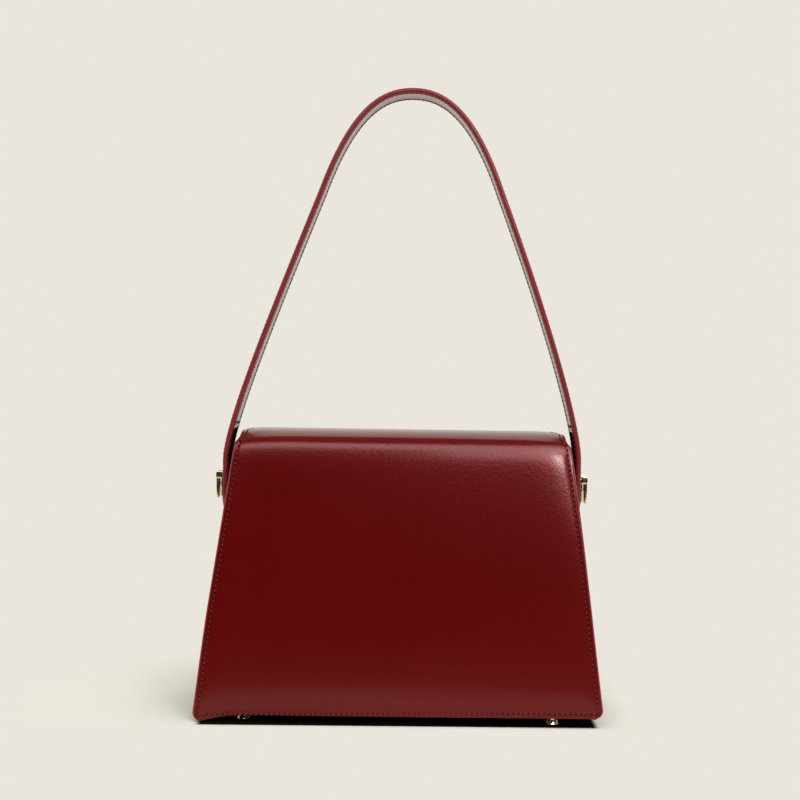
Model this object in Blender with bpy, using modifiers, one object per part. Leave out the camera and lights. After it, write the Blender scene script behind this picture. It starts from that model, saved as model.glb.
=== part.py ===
# Structured flap shoulder bag: an A-shaped leather body, a full flap that folds over the top and
# hangs down the front, and one arched strap held to both gussets by small metal clasps.
# Metres, +Z up. The front is at -Y, and the floor under the feet is at z = 0.

import bpy
import bmesh
from math import atan, cos, pi, sin
from mathutils import Matrix, Vector
from mathutils.geometry import interpolate_bezier

# Driving dimensions of the flap, which is the outline seen from the front
FLAP_WIDTH_TOP = 0.2224        # side edges carried up to the crest
FLAP_WIDTH_BOTTOM = 0.2714     # side edges carried down to the hem
CREST_Z = 0.1925               # highest face of the flap
HEM_Z = 0.0060                 # lower edge of the flap
HEM_CORNER = 0.0080            # rounding of the flap's two lower corners
CREST_NARROWING = 0.0040       # the flap draws in on each side where it rolls over the top
FRONT_FOLD = 0.0080            # outer radius of the roll at the front top edge
REAR_FOLD = 0.0060             # outer radius of the roll at the rear top edge
TAIL_DROP = 0.0320             # how far the flap's tail runs down the back, from the crest

# Driving dimensions of the body
DEPTH_BOTTOM = 0.0900          # over the flap in front and the back panel behind, at the base
DEPTH_TOP = 0.0450             # the same two faces carried up to the crest
FOOT_HEIGHT = 0.0034           # floor to the underside of the base
RIM_Z = 0.1865                 # top edge of the body's walls
FLAP_OVERHANG = 0.0020         # the flap is this much wider than the body on each side
FLAP_CLEARANCE = 0.0005        # between the flap's lining and the front panel

# Materials' thicknesses
LEATHER = 0.0013
FLAP_LEATHER = 0.0012
WALL_BOARD = 0.0014
FLAP_BOARD = 0.0010
FLAP_LINING = 0.0008
LINING = 0.0007
SEAT = 0.0003                  # gap that touching pieces keep
TURNED_EDGE = 0.0012           # the flap's board and lining stop this far inside the leather

# Strap
STRAP_WIDTH = 0.0260
STRAP_LEATHER = 0.0011
STRAP_CORE = 0.0005
CORE_MARGIN = 0.0025           # the core stops this far short of the strap's edges
PIVOT_Z = 0.1540               # height of the axis that the strap swings about
TAB_REACH = 0.0180             # the tab's round end below the pivot
TAB_TOP_Z = 0.1720             # where the tab ends and the arch starts
SHOULDER_X = 0.0613            # the arch's outer face where leg and top curve meet
SHOULDER_Z = 0.3555
SHOULDER_LEAN = 0.3490         # the leg's angle from upright there, in radians
APEX_Z = 0.4220                # highest face of the strap
ARCH_LEAN = 0.0045             # the soft arch leans this far to one side at its apex
LEG_HANDLE = 0.0420            # Bezier handles of the two stretches
SHOULDER_HANDLE_BELOW = 0.0100
SHOULDER_HANDLE_ABOVE = 0.0600
APEX_HANDLE = 0.0195

# Clasp, on the strap's outer face
PLATE_THICKNESS = 0.0012
PLATE_WIDTH = 0.0140
PLATE_ABOVE = 0.0085           # above and below the pivot
PLATE_BELOW = 0.0105
PLATE_CORNER = 0.0020
EAR_WIDTH = 0.0016
EAR_HEIGHT = 0.0050
PIN_RADIUS = 0.0008
PIN_DROP = 0.0024              # pin's centre below the top of the plate
RUNNING_GAP = 0.00015
KNUCKLE_RADIUS = 0.0018
LEAF_THICKNESS = 0.0016
LEAF_TIP_THICKNESS = 0.0010
LEAF_BELOW = 0.0100            # leaf's tip below the pivot
POST_RADIUS = 0.0016
POST_HEAD_RADIUS = 0.0030
POST_HEAD = 0.0010
SPACER_RADIUS = 0.0070
SPACER_LENGTH = 0.0018         # holds the strap's tab off the gusset
NUT_RADIUS = 0.0040
NUT_THICKNESS = 0.0016

# Feet
FOOT_RADIUS = 0.0040
FOOT_FLAT_RADIUS = 0.0022
FOOT_SHANK_RADIUS = 0.0013
FOOT_IN_X = 0.0330             # from the flap's lower width, and from the body's faces
FOOT_IN_Y = 0.0100
WASHER_RADIUS = 0.0045
WASHER_THICKNESS = 0.0006

# Magnets
MAGNET_RADIUS = 0.0060
MAGNET_SPREAD = 0.0600         # from the middle to each magnet
MAGNET_UP = 0.0240             # above the hem

# Pockets inside
ZIP_LENGTH = 0.1500
ZIP_TAPE_WIDTH = 0.0150
ZIP_TAPE = 0.0005
ZIP_CHAIN_WIDTH = 0.0046
ZIP_CHAIN = 0.0012
ZIP_BELOW_RIM = 0.0380
ZIP_END_STOP = 0.0060          # chain shorter than the tape at each end
SLIDER_LENGTH = 0.0090
SLIDER_WIDTH = 0.0080
SLIDER_HEIGHT = 0.0030
BAIL_RADIUS = 0.0006
BAIL_STAND = 0.0016            # bail's centre above the slider
BAIL_ROOT = 0.00075            # how far the bail's arms reach into the slider
PULL_LENGTH = 0.0220
PULL_WIDTH = 0.0050
PULL_THICKNESS = 0.0010
POCKET_CLOTH = 0.0006
POCKET_DEPTH = 0.0950
SLIP_WIDTH = 0.1300
SLIP_DEPTH = 0.0900
SLIP_BELOW_RIM = 0.0500

# How finely round things are cut
ROUND_SIDES = 24
SMALL_SIDES = 16
FOLD_STEPS = 6
CORNER_STEPS = 5
LEG_STEPS = 16
TOP_STEPS = 22
OVERRUN = 0.0020               # how far every cutter passes its wall
EDGE_ROUND = 0.0004
SHARP_ANGLE = 0.6              # in radians
MERGE_LIMIT = 0.00001          # points on a turned piece's axis are joined within this

# Heights and slopes that follow from the driving dimensions
HEIGHT = CREST_Z - HEM_Z
FRONT_SLOPE = (DEPTH_BOTTOM - DEPTH_TOP) / 2 / HEIGHT
FRONT_LEAN = atan(FRONT_SLOPE)
FLAP_STACK = FLAP_LEATHER + SEAT + FLAP_BOARD + SEAT + FLAP_LINING
TAIL_STAND = FLAP_LEATHER + SEAT
BACK_SLOPE = (DEPTH_BOTTOM / 2 - DEPTH_TOP / 2 + TAIL_STAND) / (CREST_Z - FOOT_HEIGHT)
BACK_LEAN = atan(BACK_SLOPE)
STRAP_STACK = STRAP_LEATHER + SEAT + STRAP_CORE + SEAT + STRAP_LEATHER
BOARD_INSET = LEATHER + SEAT
LINING_INSET = BOARD_INSET + WALL_BOARD + SEAT
BASE_BOARD_Z = FOOT_HEIGHT + LEATHER + SEAT
WASHER_Z = BASE_BOARD_Z + WALL_BOARD + SEAT
LINING_Z = WASHER_Z + WASHER_THICKNESS + SEAT
POCKET_SPACE = POCKET_CLOTH + SEAT
PIN_Z = PIVOT_Z + PLATE_ABOVE - PIN_DROP


def flap_half_width(z):
    """Half the flap's width at height z, before its corners are rounded."""
    share = (CREST_Z - z) / HEIGHT
    return (FLAP_WIDTH_TOP + (FLAP_WIDTH_BOTTOM - FLAP_WIDTH_TOP) * share) / 2


def flap_face(z, inset=0):
    """Y of the flap's front, measured in from its outer face."""
    return -DEPTH_TOP / 2 - (CREST_Z - z) * FRONT_SLOPE + inset / cos(FRONT_LEAN)


def body_half(z, inset=0):
    """Half the body's width at height z, in from the gussets' outer faces."""
    return flap_half_width(z) - FLAP_OVERHANG - inset


def body_front(z, inset=0):
    return flap_face(z, FLAP_STACK + FLAP_CLEARANCE + inset)


def body_back(z, inset=0):
    return DEPTH_TOP / 2 - TAIL_STAND + (CREST_Z - z) * BACK_SLOPE - inset / cos(BACK_LEAN)


# The clasps stand off the gussets at the height of the strap's axis, each face on the one before
SPACER_INNER_X = body_half(PIVOT_Z - SPACER_RADIUS) + SEAT
TAB_FACE_X = SPACER_INNER_X + SPACER_LENGTH + SEAT + STRAP_STACK
PLATE_FACE_X = TAB_FACE_X + SEAT + PLATE_THICKNESS
PIN_X = PLATE_FACE_X + SEAT + KNUCKLE_RADIUS


# Start from an empty file with two collections: the parts, and the shapes that only cut them
for old in list(bpy.data.objects):
    bpy.data.objects.remove(old, do_unlink=True)
parts = bpy.data.collections.new("flap_shoulder_bag")
cutters = bpy.data.collections.new("cutters")
for collection in (parts, cutters):
    bpy.context.scene.collection.children.link(collection)


def material(name, colour, roughness, metallic=0.0):
    made = bpy.data.materials.new(name)
    made.use_nodes = True
    shader = made.node_tree.nodes["Principled BSDF"]
    shader.inputs["Base Color"].default_value = (*colour, 1.0)
    shader.inputs["Roughness"].default_value = roughness
    shader.inputs["Metallic"].default_value = metallic
    return made


BURGUNDY = material("burgundy_calf_leather", (0.105, 0.008, 0.008), 0.35)
BURGUNDY_LINING = material("burgundy_lining_leather", (0.120, 0.012, 0.012), 0.5)
CLOTH = material("dark_red_lining_cloth", (0.060, 0.010, 0.012), 0.8)
BOARD = material("grey_fibre_board", (0.30, 0.27, 0.23), 0.9)
WEBBING = material("nylon_core_tape", (0.55, 0.52, 0.48), 0.8)
GOLD = material("pale_gold_plated_brass", (0.83, 0.66, 0.38), 0.18, 1.0)
STEEL = material("nickel_plated_steel", (0.55, 0.54, 0.52), 0.3, 1.0)
ZIP_CLOTH = material("zip_tape_cloth", (0.070, 0.010, 0.012), 0.8)


def place(name, mesh, finish, collection=parts):
    """Put a mesh into the scene as one named piece."""
    made = bpy.data.objects.new(name, mesh)
    if finish is not None:
        mesh.materials.append(finish)
    collection.objects.link(made)
    return made


def as_mesh(name, bm):
    bmesh.ops.recalc_face_normals(bm, faces=bm.faces)
    mesh = bpy.data.meshes.new(name)
    bm.to_mesh(mesh)
    bm.free()
    return mesh


def smooth(piece):
    piece.data.shade_smooth()
    piece.data.set_sharp_from_angle(angle=SHARP_ANGLE)


def round_edges(piece, width=EDGE_ROUND, segments=2):
    bevel = piece.modifiers.new("rounded_edges", "BEVEL")
    bevel.width = width
    bevel.segments = segments
    bevel.limit_method = "ANGLE"
    return piece


def as_cutter(tool):
    """Hide a shape that only cuts or completes another."""
    tool.hide_render = True
    tool.display_type = "WIRE"
    return tool


def boolean(piece, tool, operation="DIFFERENCE"):
    change = piece.modifiers.new(operation.lower() + "_" + tool.name, "BOOLEAN")
    change.operation = operation
    change.solver = "EXACT"
    change.object = tool
    return piece


def tapered_block(name, x_span, y_span, z_low, z_high, finish, collection=parts):
    """A cube whose corners follow two functions of height, so that walls can lean."""
    bm = bmesh.new()
    bmesh.ops.create_cube(bm, size=1)
    for vert in bm.verts:
        z = z_high if vert.co.z > 0 else z_low
        vert.co = Vector((x_span(z)[vert.co.x > 0], y_span(z)[vert.co.y > 0], z))
    return place(name, as_mesh(name, bm), finish, collection)


def block(name, low, high, finish, collection=parts):
    """A plain box between two corners."""
    return tapered_block(
        name,
        lambda z: (low[0], high[0]),
        lambda z: (low[1], high[1]),
        low[2],
        high[2],
        finish,
        collection,
    )


def strip(name, rows, thickness, finish):
    """A sheet through rows of (half width, y, z), thickened evenly about that surface."""
    last = len(rows) - 1
    bm = bmesh.new()
    bmesh.ops.create_grid(bm, x_segments=1, y_segments=last, size=1)
    for vert in bm.verts:
        half, y, z = rows[round((vert.co.y + 1) / 2 * last)]
        vert.co = Vector((half if vert.co.x > 0 else -half, y, z))
    piece = place(name, as_mesh(name, bm), finish)
    shell = piece.modifiers.new("thickness", "SOLIDIFY")
    shell.thickness = thickness
    shell.offset = 0
    shell.use_even_offset = True
    return piece


def cylinder(name, radius, length, centre, axis, finish, collection=parts, sides=SMALL_SIDES):
    """A round bar of a given length about a centre, along any axis."""
    bm = bmesh.new()
    bmesh.ops.create_cone(
        bm,
        cap_ends=True,
        segments=sides,
        radius1=radius,
        radius2=radius,
        depth=length,
    )
    made = place(name, as_mesh(name, bm), finish, collection)
    made.rotation_euler = Vector(axis).to_track_quat("Z", "Y").to_euler()
    made.location = centre
    smooth(made)
    return made


def turned(name, profile, finish, sides=ROUND_SIDES):
    """A turned piece: its profile of (radius, height) runs from the top down."""
    bm = bmesh.new()
    points = [bm.verts.new((radius, 0, height)) for radius, height in profile]
    for upper, lower in zip(points, points[1:]):
        bm.edges.new((upper, lower))
    mesh = bpy.data.meshes.new(name)
    bm.to_mesh(mesh)
    bm.free()
    made = place(name, mesh, finish)
    spin = made.modifiers.new("turning", "SCREW")
    spin.steps = sides
    spin.render_steps = sides
    spin.use_merge_vertices = True
    spin.merge_threshold = MERGE_LIMIT
    spin.use_smooth_shade = False
    return made


# Body walls: leather outside, a stiff board behind it, and the lining inside
def lay_wall(name, inset, thickness, side, z_low, finish):
    """One layer of the front or back wall, set in from the body's outer faces."""
    face = body_front if side < 0 else body_back

    def y_span(z):
        return sorted((face(z, inset), face(z, inset + thickness)))

    return tapered_block(
        name,
        lambda z: (-body_half(z, inset), body_half(z, inset)),
        y_span,
        z_low,
        RIM_Z,
        finish,
    )


def lay_gusset(name, inset, thickness, side, z_low, margin, finish):
    """One layer of a gusset, which stands between the front and back walls."""

    def x_span(z):
        return sorted((side * body_half(z, inset), side * body_half(z, inset + thickness)))

    return tapered_block(
        name,
        x_span,
        lambda z: (body_front(z, margin), body_back(z, margin)),
        z_low,
        RIM_Z,
        finish,
    )


def lay_base(name, inset, z_low, thickness, finish):
    """One layer of the base, which stands between all four walls."""
    return tapered_block(
        name,
        lambda z: (-body_half(z, inset), body_half(z, inset)),
        lambda z: (body_front(z, inset), body_back(z, inset)),
        z_low,
        z_low + thickness,
        finish,
    )


front_panel = lay_wall("front_panel", 0, LEATHER, -1, FOOT_HEIGHT, BURGUNDY)
back_panel = lay_wall("back_panel", 0, LEATHER, 1, FOOT_HEIGHT, BURGUNDY)
base_panel = lay_base("base_panel", BOARD_INSET, FOOT_HEIGHT, LEATHER, BURGUNDY)
front_board = lay_wall("front_board", BOARD_INSET, WALL_BOARD, -1, BASE_BOARD_Z, BOARD)
back_board = lay_wall("back_board", BOARD_INSET, WALL_BOARD, 1, BASE_BOARD_Z, BOARD)
base_board = lay_base("base_board", LINING_INSET, BASE_BOARD_Z, WALL_BOARD, BOARD)
gussets, gusset_boards = {}, {}
for side, word in ((-1, "left"), (1, "right")):
    gussets[side] = lay_gusset("gusset_" + word, 0, LEATHER, side, FOOT_HEIGHT, BOARD_INSET, BURGUNDY)
    gusset_boards[side] = lay_gusset(
        "gusset_board_" + word, BOARD_INSET, WALL_BOARD, side, BASE_BOARD_Z, LINING_INSET, BOARD
    )
for wall in (front_panel, back_panel, base_panel, *gussets.values()):
    round_edges(wall)


# Lining: an open-topped bag of thin cloth that stands inside the boards
def lining_back(z):
    """The lining's back wall leaves room behind it for the zip pocket."""
    return body_back(z, LINING_INSET + POCKET_SPACE)


def make_lining():
    """A tapered block without its top face, thickened inwards."""
    lining = tapered_block(
        "lining",
        lambda z: (-body_half(z, LINING_INSET), body_half(z, LINING_INSET)),
        lambda z: (body_front(z, LINING_INSET), lining_back(z)),
        LINING_Z,
        RIM_Z,
        CLOTH,
    )
    bm = bmesh.new()
    bm.from_mesh(lining.data)
    top = [face for face in bm.faces if face.normal.z > cos(pi / 4)]
    bmesh.ops.delete(bm, geom=top, context="FACES")
    bm.to_mesh(lining.data)
    bm.free()
    shell = lining.modifiers.new("thickness", "SOLIDIFY")
    shell.thickness = LINING
    shell.offset = -1
    shell.use_even_offset = True
    return lining


lining = make_lining()


# Flap: the front part hangs from the front fold and the top part turns on the rear fold
def fold_centre(face_y, slope_angle, radius, side):
    """Centre of a roll that is tangent to the crest and to a leaning face."""
    z = CREST_Z - radius
    return Vector((0, face_y(z) - side * radius / cos(slope_angle), z))


def tail_face(z):
    """Outer face of the flap's tail, which lies on the back panel."""
    return body_back(z, -TAIL_STAND)


FRONT_CENTRE = fold_centre(flap_face, FRONT_LEAN, FRONT_FOLD, -1)
REAR_CENTRE = fold_centre(tail_face, BACK_LEAN, REAR_FOLD, 1)
CREST_HALF = flap_half_width(CREST_Z) - CREST_NARROWING


def fold_rows(centre, radius, depth, lean, side):
    """Rows around a roll from the crest outwards, at a depth under its outer face."""
    rows = []
    for step in range(FOLD_STEPS + 1):
        share = step / FOLD_STEPS
        angle = pi / 2 + (pi / 2 - lean) * share
        y = centre.y - side * (radius - depth) * cos(angle)
        z = centre.z + (radius - depth) * sin(angle)
        rows.append((share, y, z))
    return rows


def front_rows(depth, margin, hem_margin):
    """The flap's front part: around the fold, straight down, and round its lower corners."""
    rows = []
    for share, y, z in fold_rows(FRONT_CENTRE, FRONT_FOLD, depth, FRONT_LEAN, -1):
        tangent_half = flap_half_width(FRONT_CENTRE.z)
        eased = 1 - (1 - share) ** 2
        rows.append((CREST_HALF + (tangent_half - CREST_HALF) * eased - margin, y, z))
    hem = HEM_Z + hem_margin
    corner = HEM_CORNER - hem_margin
    for step in range(CORNER_STEPS + 1):
        angle = pi / 2 * step / CORNER_STEPS
        z = hem + corner * (1 - sin(angle))
        half = flap_half_width(hem + corner) - corner * (1 - cos(angle)) - margin
        rows.append((half, flap_face(z, depth), z))
    return rows


board_depth = FLAP_LEATHER + SEAT + FLAP_BOARD / 2
lining_depth = FLAP_STACK - FLAP_LINING / 2
strip(
    "flap_front_leather", front_rows(FLAP_LEATHER / 2, 0, 0), FLAP_LEATHER, BURGUNDY
)
strip(
    "flap_front_lining", front_rows(lining_depth, TURNED_EDGE, TURNED_EDGE), FLAP_LINING, BURGUNDY_LINING
)
flap_front_board = strip(
    "flap_front_board",
    front_rows(board_depth, TURNED_EDGE, TURNED_EDGE)[FOLD_STEPS:],
    FLAP_BOARD,
    BOARD,
)


def top_layer(name, depth, thickness, margin, finish):
    """One flat layer of the flap between its two folds."""
    return block(
        name,
        (-CREST_HALF + margin, FRONT_CENTRE.y + SEAT, CREST_Z - depth - thickness),
        (CREST_HALF - margin, REAR_CENTRE.y - SEAT, CREST_Z - depth),
        finish,
    )


top_layer("flap_top_leather", 0, FLAP_LEATHER, 0, BURGUNDY)
top_layer("flap_top_board", FLAP_LEATHER + SEAT, FLAP_BOARD, TURNED_EDGE, BOARD)
top_layer(
    "flap_top_lining", FLAP_STACK - FLAP_LINING, FLAP_LINING, TURNED_EDGE, BURGUNDY_LINING
)


def tail_rows():
    """The flap's tail: around the rear fold and down the back panel."""
    depth = FLAP_LEATHER / 2
    rows = [
        (CREST_HALF, y, z)
        for _, y, z in fold_rows(REAR_CENTRE, REAR_FOLD, depth, BACK_LEAN, 1)
    ]
    end = CREST_Z - TAIL_DROP
    rows.append((CREST_HALF, body_back(end, depth - TAIL_STAND), end))
    return rows


strip("flap_tail", tail_rows(), FLAP_LEATHER, BURGUNDY)


# Magnets that hold the flap down, let into the flap's board and the front board
def let_in_magnet(name, board, depth_face, thickness, side, finish):
    """A disc set square to the sloping front, in a hole cut through its board."""
    z = HEM_Z + MAGNET_UP
    centre = Vector((side * MAGNET_SPREAD, depth_face(z), z))
    normal = Vector((0, -cos(FRONT_LEAN), sin(FRONT_LEAN)))
    hole = as_cutter(
        cylinder(
            name + "_hole",
            MAGNET_RADIUS + SEAT,
            thickness + 2 * OVERRUN,
            centre,
            normal,
            None,
            cutters,
            ROUND_SIDES,
        )
    )
    boolean(board, hole)
    cylinder(name, MAGNET_RADIUS, thickness, centre, normal, finish, sides=ROUND_SIDES)


for side, word in ((-1, "left"), (1, "right")):
    let_in_magnet(
        "flap_magnet_" + word,
        flap_front_board,
        lambda z: flap_face(z, board_depth),
        FLAP_BOARD,
        side,
        STEEL,
    )
    let_in_magnet(
        "body_magnet_" + word,
        front_board,
        lambda z: body_front(z, BOARD_INSET + WALL_BOARD / 2),
        WALL_BOARD,
        side,
        STEEL,
    )


# Strap: outer leather, core and lining leather follow one arch at different depths
def arch_face():
    """The strap's outer face on the right-hand side, from the tab's end up to the apex."""
    lean = Vector((-sin(SHOULDER_LEAN), cos(SHOULDER_LEAN), 0))
    foot = Vector((TAB_FACE_X, TAB_TOP_Z, 0))
    shoulder = Vector((SHOULDER_X, SHOULDER_Z, 0))
    apex = Vector((0, APEX_Z, 0))
    leg = interpolate_bezier(
        foot,
        foot + Vector((0, LEG_HANDLE, 0)),
        shoulder - lean * SHOULDER_HANDLE_BELOW,
        shoulder,
        LEG_STEPS,
    )
    top = interpolate_bezier(
        shoulder,
        shoulder + lean * SHOULDER_HANDLE_ABOVE,
        apex + Vector((APEX_HANDLE, 0, 0)),
        apex,
        TOP_STEPS,
    )
    tab_end = Vector((TAB_FACE_X, PIVOT_Z - TAB_REACH, 0))
    return [tab_end, *leg, *top[1:]]


def leaning(point):
    """Shift a point of the arch sideways, from nothing at the tab to the full lean at the apex."""
    rise = max(0, (point.y - TAB_TOP_Z) / (APEX_Z - TAB_TOP_Z))
    return Vector((point.x + ARCH_LEAN * rise * rise, point.y, 0))


def strap_path(depth):
    """The whole strap from the left tab to the right one, at a depth under its outer face."""
    right = arch_face()
    left = [Vector((-point.x, point.y, 0)) for point in right]
    path = [leaning(point) for point in left + right[-2::-1]]
    inner = []
    for index, point in enumerate(path):
        before = path[max(index - 1, 0)]
        after = path[min(index + 1, len(path) - 1)]
        along = (after - before).normalized()
        inner.append(point + Vector((along.y, -along.x, 0)) * depth)
    return inner


def strap_layer(name, depth, thickness, margin, finish):
    """One layer of the strap: a ribbon along the arch, thickened about its own surface."""
    path = strap_path(depth + thickness / 2)
    last = len(path) - 1
    bm = bmesh.new()
    bmesh.ops.create_grid(bm, x_segments=last, y_segments=1, size=1)
    half = STRAP_WIDTH / 2 - margin
    for vert in bm.verts:
        point = path[round((vert.co.x + 1) / 2 * last)]
        vert.co = Vector((point.x, half if vert.co.y > 0 else -half, point.y))
    layer = place(name, as_mesh(name, bm), finish)
    shell = layer.modifiers.new("thickness", "SOLIDIFY")
    shell.thickness = thickness
    shell.offset = 0
    shell.use_even_offset = True
    return layer


def tab_end_cutter(name, side, margin):
    """What lies outside the tab's round end: a block less a disc."""
    radius = STRAP_WIDTH / 2 - margin
    centre = PIVOT_Z - TAB_REACH + margin + radius
    near = side * (TAB_FACE_X - STRAP_STACK - OVERRUN)
    far = side * (TAB_FACE_X + OVERRUN)
    reach = STRAP_WIDTH / 2 + OVERRUN
    tool = block(
        name,
        (min(near, far), -reach, PIVOT_Z - TAB_REACH - OVERRUN),
        (max(near, far), reach, centre),
        None,
        cutters,
    )
    disc = cylinder(
        name + "_disc",
        radius,
        STRAP_STACK + 4 * OVERRUN,
        (side * (TAB_FACE_X - STRAP_STACK / 2), 0, centre),
        (1, 0, 0),
        None,
        cutters,
        2 * ROUND_SIDES,
    )
    boolean(as_cutter(tool), as_cutter(disc))
    return tool


strap_layers = [
    (strap_layer("strap_outer", 0, STRAP_LEATHER, 0, BURGUNDY), 0),
    (
        strap_layer("strap_core", STRAP_LEATHER + SEAT, STRAP_CORE, CORE_MARGIN, WEBBING),
        CORE_MARGIN,
    ),
    (
        strap_layer("strap_lining", STRAP_STACK - STRAP_LEATHER, STRAP_LEATHER, 0, BURGUNDY_LINING),
        0,
    ),
]
for layer, margin in strap_layers:
    for side, word in ((-1, "left"), (1, "right")):
        boolean(layer, tab_end_cutter(layer.name + "_end_" + word, side, margin))


# Posts, nuts and spacers on the axis that the strap swings about
def along_x(piece, side, x, z):
    """Turn a piece made about Z so that its top points outwards along X."""
    piece.matrix_world = Matrix.Translation((x, 0, z)) @ Matrix.Rotation(side * pi / 2, 4, "Y")
    return piece


def ring(name, outer, inner, thickness, finish, sides=ROUND_SIDES):
    """A flat ring with its underside at height 0."""
    profile = [
        (inner, thickness),
        (outer, thickness),
        (outer, 0),
        (inner, 0),
        (inner, thickness),
    ]
    return turned(name, profile, finish, sides)


head_base_x = PLATE_FACE_X + SEAT
gusset_inner_x = body_half(PIVOT_Z + NUT_RADIUS, LINING_INSET + LINING)
nut_x = gusset_inner_x - SEAT - NUT_THICKNESS
post_end_x = nut_x - SEAT
bore_radius = POST_RADIUS + SEAT


def make_post(word, side):
    """A rivet from the nut inside the gusset to the head on the clasp's plate."""
    length = head_base_x - post_end_x
    profile = [
        (0, length + POST_HEAD),
        (POST_HEAD_RADIUS - EDGE_ROUND, length + POST_HEAD),
        (POST_HEAD_RADIUS, length + POST_HEAD - EDGE_ROUND),
        (POST_HEAD_RADIUS, length),
        (POST_RADIUS, length),
        (POST_RADIUS, 0),
        (0, 0),
    ]
    post = turned("post_" + word, profile, STEEL, SMALL_SIDES)
    return along_x(post, side, side * post_end_x, PIVOT_Z)


for side, word in ((-1, "left"), (1, "right")):
    make_post(word, side)
    nut = ring("post_nut_" + word, NUT_RADIUS, bore_radius, NUT_THICKNESS, STEEL, SMALL_SIDES)
    along_x(nut, side, side * nut_x, PIVOT_Z)
    spacer = ring("spacer_" + word, SPACER_RADIUS, bore_radius, SPACER_LENGTH, BURGUNDY_LINING)
    along_x(spacer, side, side * SPACER_INNER_X, PIVOT_Z)
    bore_start = nut_x - OVERRUN
    bore_length = PLATE_FACE_X + OVERRUN - bore_start
    bore = as_cutter(
        cylinder(
            "post_bore_" + word,
            bore_radius,
            bore_length,
            (side * (bore_start + bore_length / 2), 0, PIVOT_Z),
            (1, 0, 0),
            None,
            cutters,
        )
    )
    for walled in (gussets[side], gusset_boards[side], lining, *(layer for layer, _ in strap_layers)):
        boolean(walled, bore)


# Clasps: a plate with two ears, a pin through them, and a leaf that hangs from the pin
def make_plate(word, side):
    """The plate with rounded lower corners, two ears at its top, and its two holes."""
    name = "clasp_plate_" + word
    inner, outer = TAB_FACE_X + SEAT, PLATE_FACE_X
    xs = sorted((side * inner, side * outer))
    plate = block(
        name,
        (xs[0], -PLATE_WIDTH / 2, PIVOT_Z - PLATE_BELOW),
        (xs[1], PLATE_WIDTH / 2, PIVOT_Z + PLATE_ABOVE),
        GOLD,
    )
    corners = plate.modifiers.new("corners", "BEVEL")
    corners.width = PLATE_CORNER
    corners.segments = CORNER_STEPS
    corners.limit_method = "WEIGHT"
    weights = plate.data.attributes.new("bevel_weight_edge", "FLOAT", "EDGE")
    for edge in plate.data.edges:
        ends = [plate.data.vertices[index].co for index in edge.vertices]
        runs_out = abs(ends[0].x - ends[1].x) > PLATE_THICKNESS / 2
        low = max(ends[0].z, ends[1].z) < PIVOT_Z
        weights.data[edge.index].value = 1.0 if runs_out and low else 0.0
    ear_top = PIVOT_Z + PLATE_ABOVE
    for front in (-1, 1):
        ys = sorted((front * (PLATE_WIDTH / 2 - EAR_WIDTH), front * PLATE_WIDTH / 2))
        reach = sorted((side * (outer - PLATE_THICKNESS / 2), side * (PIN_X + KNUCKLE_RADIUS)))
        ear = as_cutter(
            block(
                name + ("_ear_front" if front < 0 else "_ear_back"),
                (reach[0], ys[0], ear_top - EAR_HEIGHT),
                (reach[1], ys[1], ear_top),
                None,
                cutters,
            )
        )
        boolean(plate, ear, "UNION")
    for hole, radius, centre, axis in (
        ("pin", PIN_RADIUS + RUNNING_GAP, (side * PIN_X, 0, PIN_Z), (0, 1, 0)),
        ("post", bore_radius, (side * (inner + outer) / 2, 0, PIVOT_Z), (1, 0, 0)),
    ):
        tool = as_cutter(
            cylinder(
                name + "_" + hole + "_hole",
                radius,
                (PLATE_WIDTH if hole == "pin" else PLATE_THICKNESS) + 2 * OVERRUN,
                centre,
                axis,
                None,
                cutters,
            )
        )
        boolean(plate, tool)
    return plate


def make_leaf(word, side):
    """A barrel that turns on the pin, with a blade that thins towards its tip."""
    name = "clasp_leaf_" + word
    half = PLATE_WIDTH / 2 - EAR_WIDTH - SEAT
    barrel = cylinder(
        name, KNUCKLE_RADIUS, 2 * half, (side * PIN_X, 0, PIN_Z), (0, 1, 0), GOLD, sides=ROUND_SIDES
    )
    outer = PIN_X + KNUCKLE_RADIUS
    tip_z = PIVOT_Z - LEAF_BELOW

    def x_span(z):
        thickness = LEAF_THICKNESS if z > tip_z else LEAF_TIP_THICKNESS
        return sorted((side * outer, side * (outer - thickness)))

    blade = tapered_block(
        name + "_blade", x_span, lambda z: (-half, half), tip_z, PIN_Z, None, cutters
    )
    boolean(barrel, as_cutter(blade), "UNION")
    bore = cylinder(
        name + "_bore",
        PIN_RADIUS + RUNNING_GAP,
        PLATE_WIDTH + 2 * OVERRUN,
        (side * PIN_X, 0, PIN_Z),
        (0, 1, 0),
        None,
        cutters,
    )
    boolean(barrel, as_cutter(bore))
    return barrel


for side, word in ((-1, "left"), (1, "right")):
    make_plate(word, side)
    make_leaf(word, side)
    cylinder(
        "clasp_pin_" + word,
        PIN_RADIUS,
        PLATE_WIDTH,
        (side * PIN_X, 0, PIN_Z),
        (0, 1, 0),
        STEEL,
        sides=SMALL_SIDES,
    )


# Feet: domed studs whose shanks pass through the base and are held by washers inside
def foot_profile():
    """Half section of a foot: shank, rim, and a dome cut flat where it rests."""
    rows = [
        (0, WASHER_Z + WASHER_THICKNESS),
        (FOOT_SHANK_RADIUS, WASHER_Z + WASHER_THICKNESS),
        (FOOT_SHANK_RADIUS, FOOT_HEIGHT - SEAT),
        (FOOT_RADIUS, FOOT_HEIGHT - SEAT),
    ]
    drop = FOOT_HEIGHT - SEAT - EDGE_ROUND
    for step in range(CORNER_STEPS + 1):
        angle = pi / 2 * step / CORNER_STEPS
        radius = FOOT_FLAT_RADIUS + (FOOT_RADIUS - FOOT_FLAT_RADIUS) * cos(angle)
        rows.append((radius, drop * (1 - sin(angle))))
    return rows + [(0, 0)]


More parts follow.
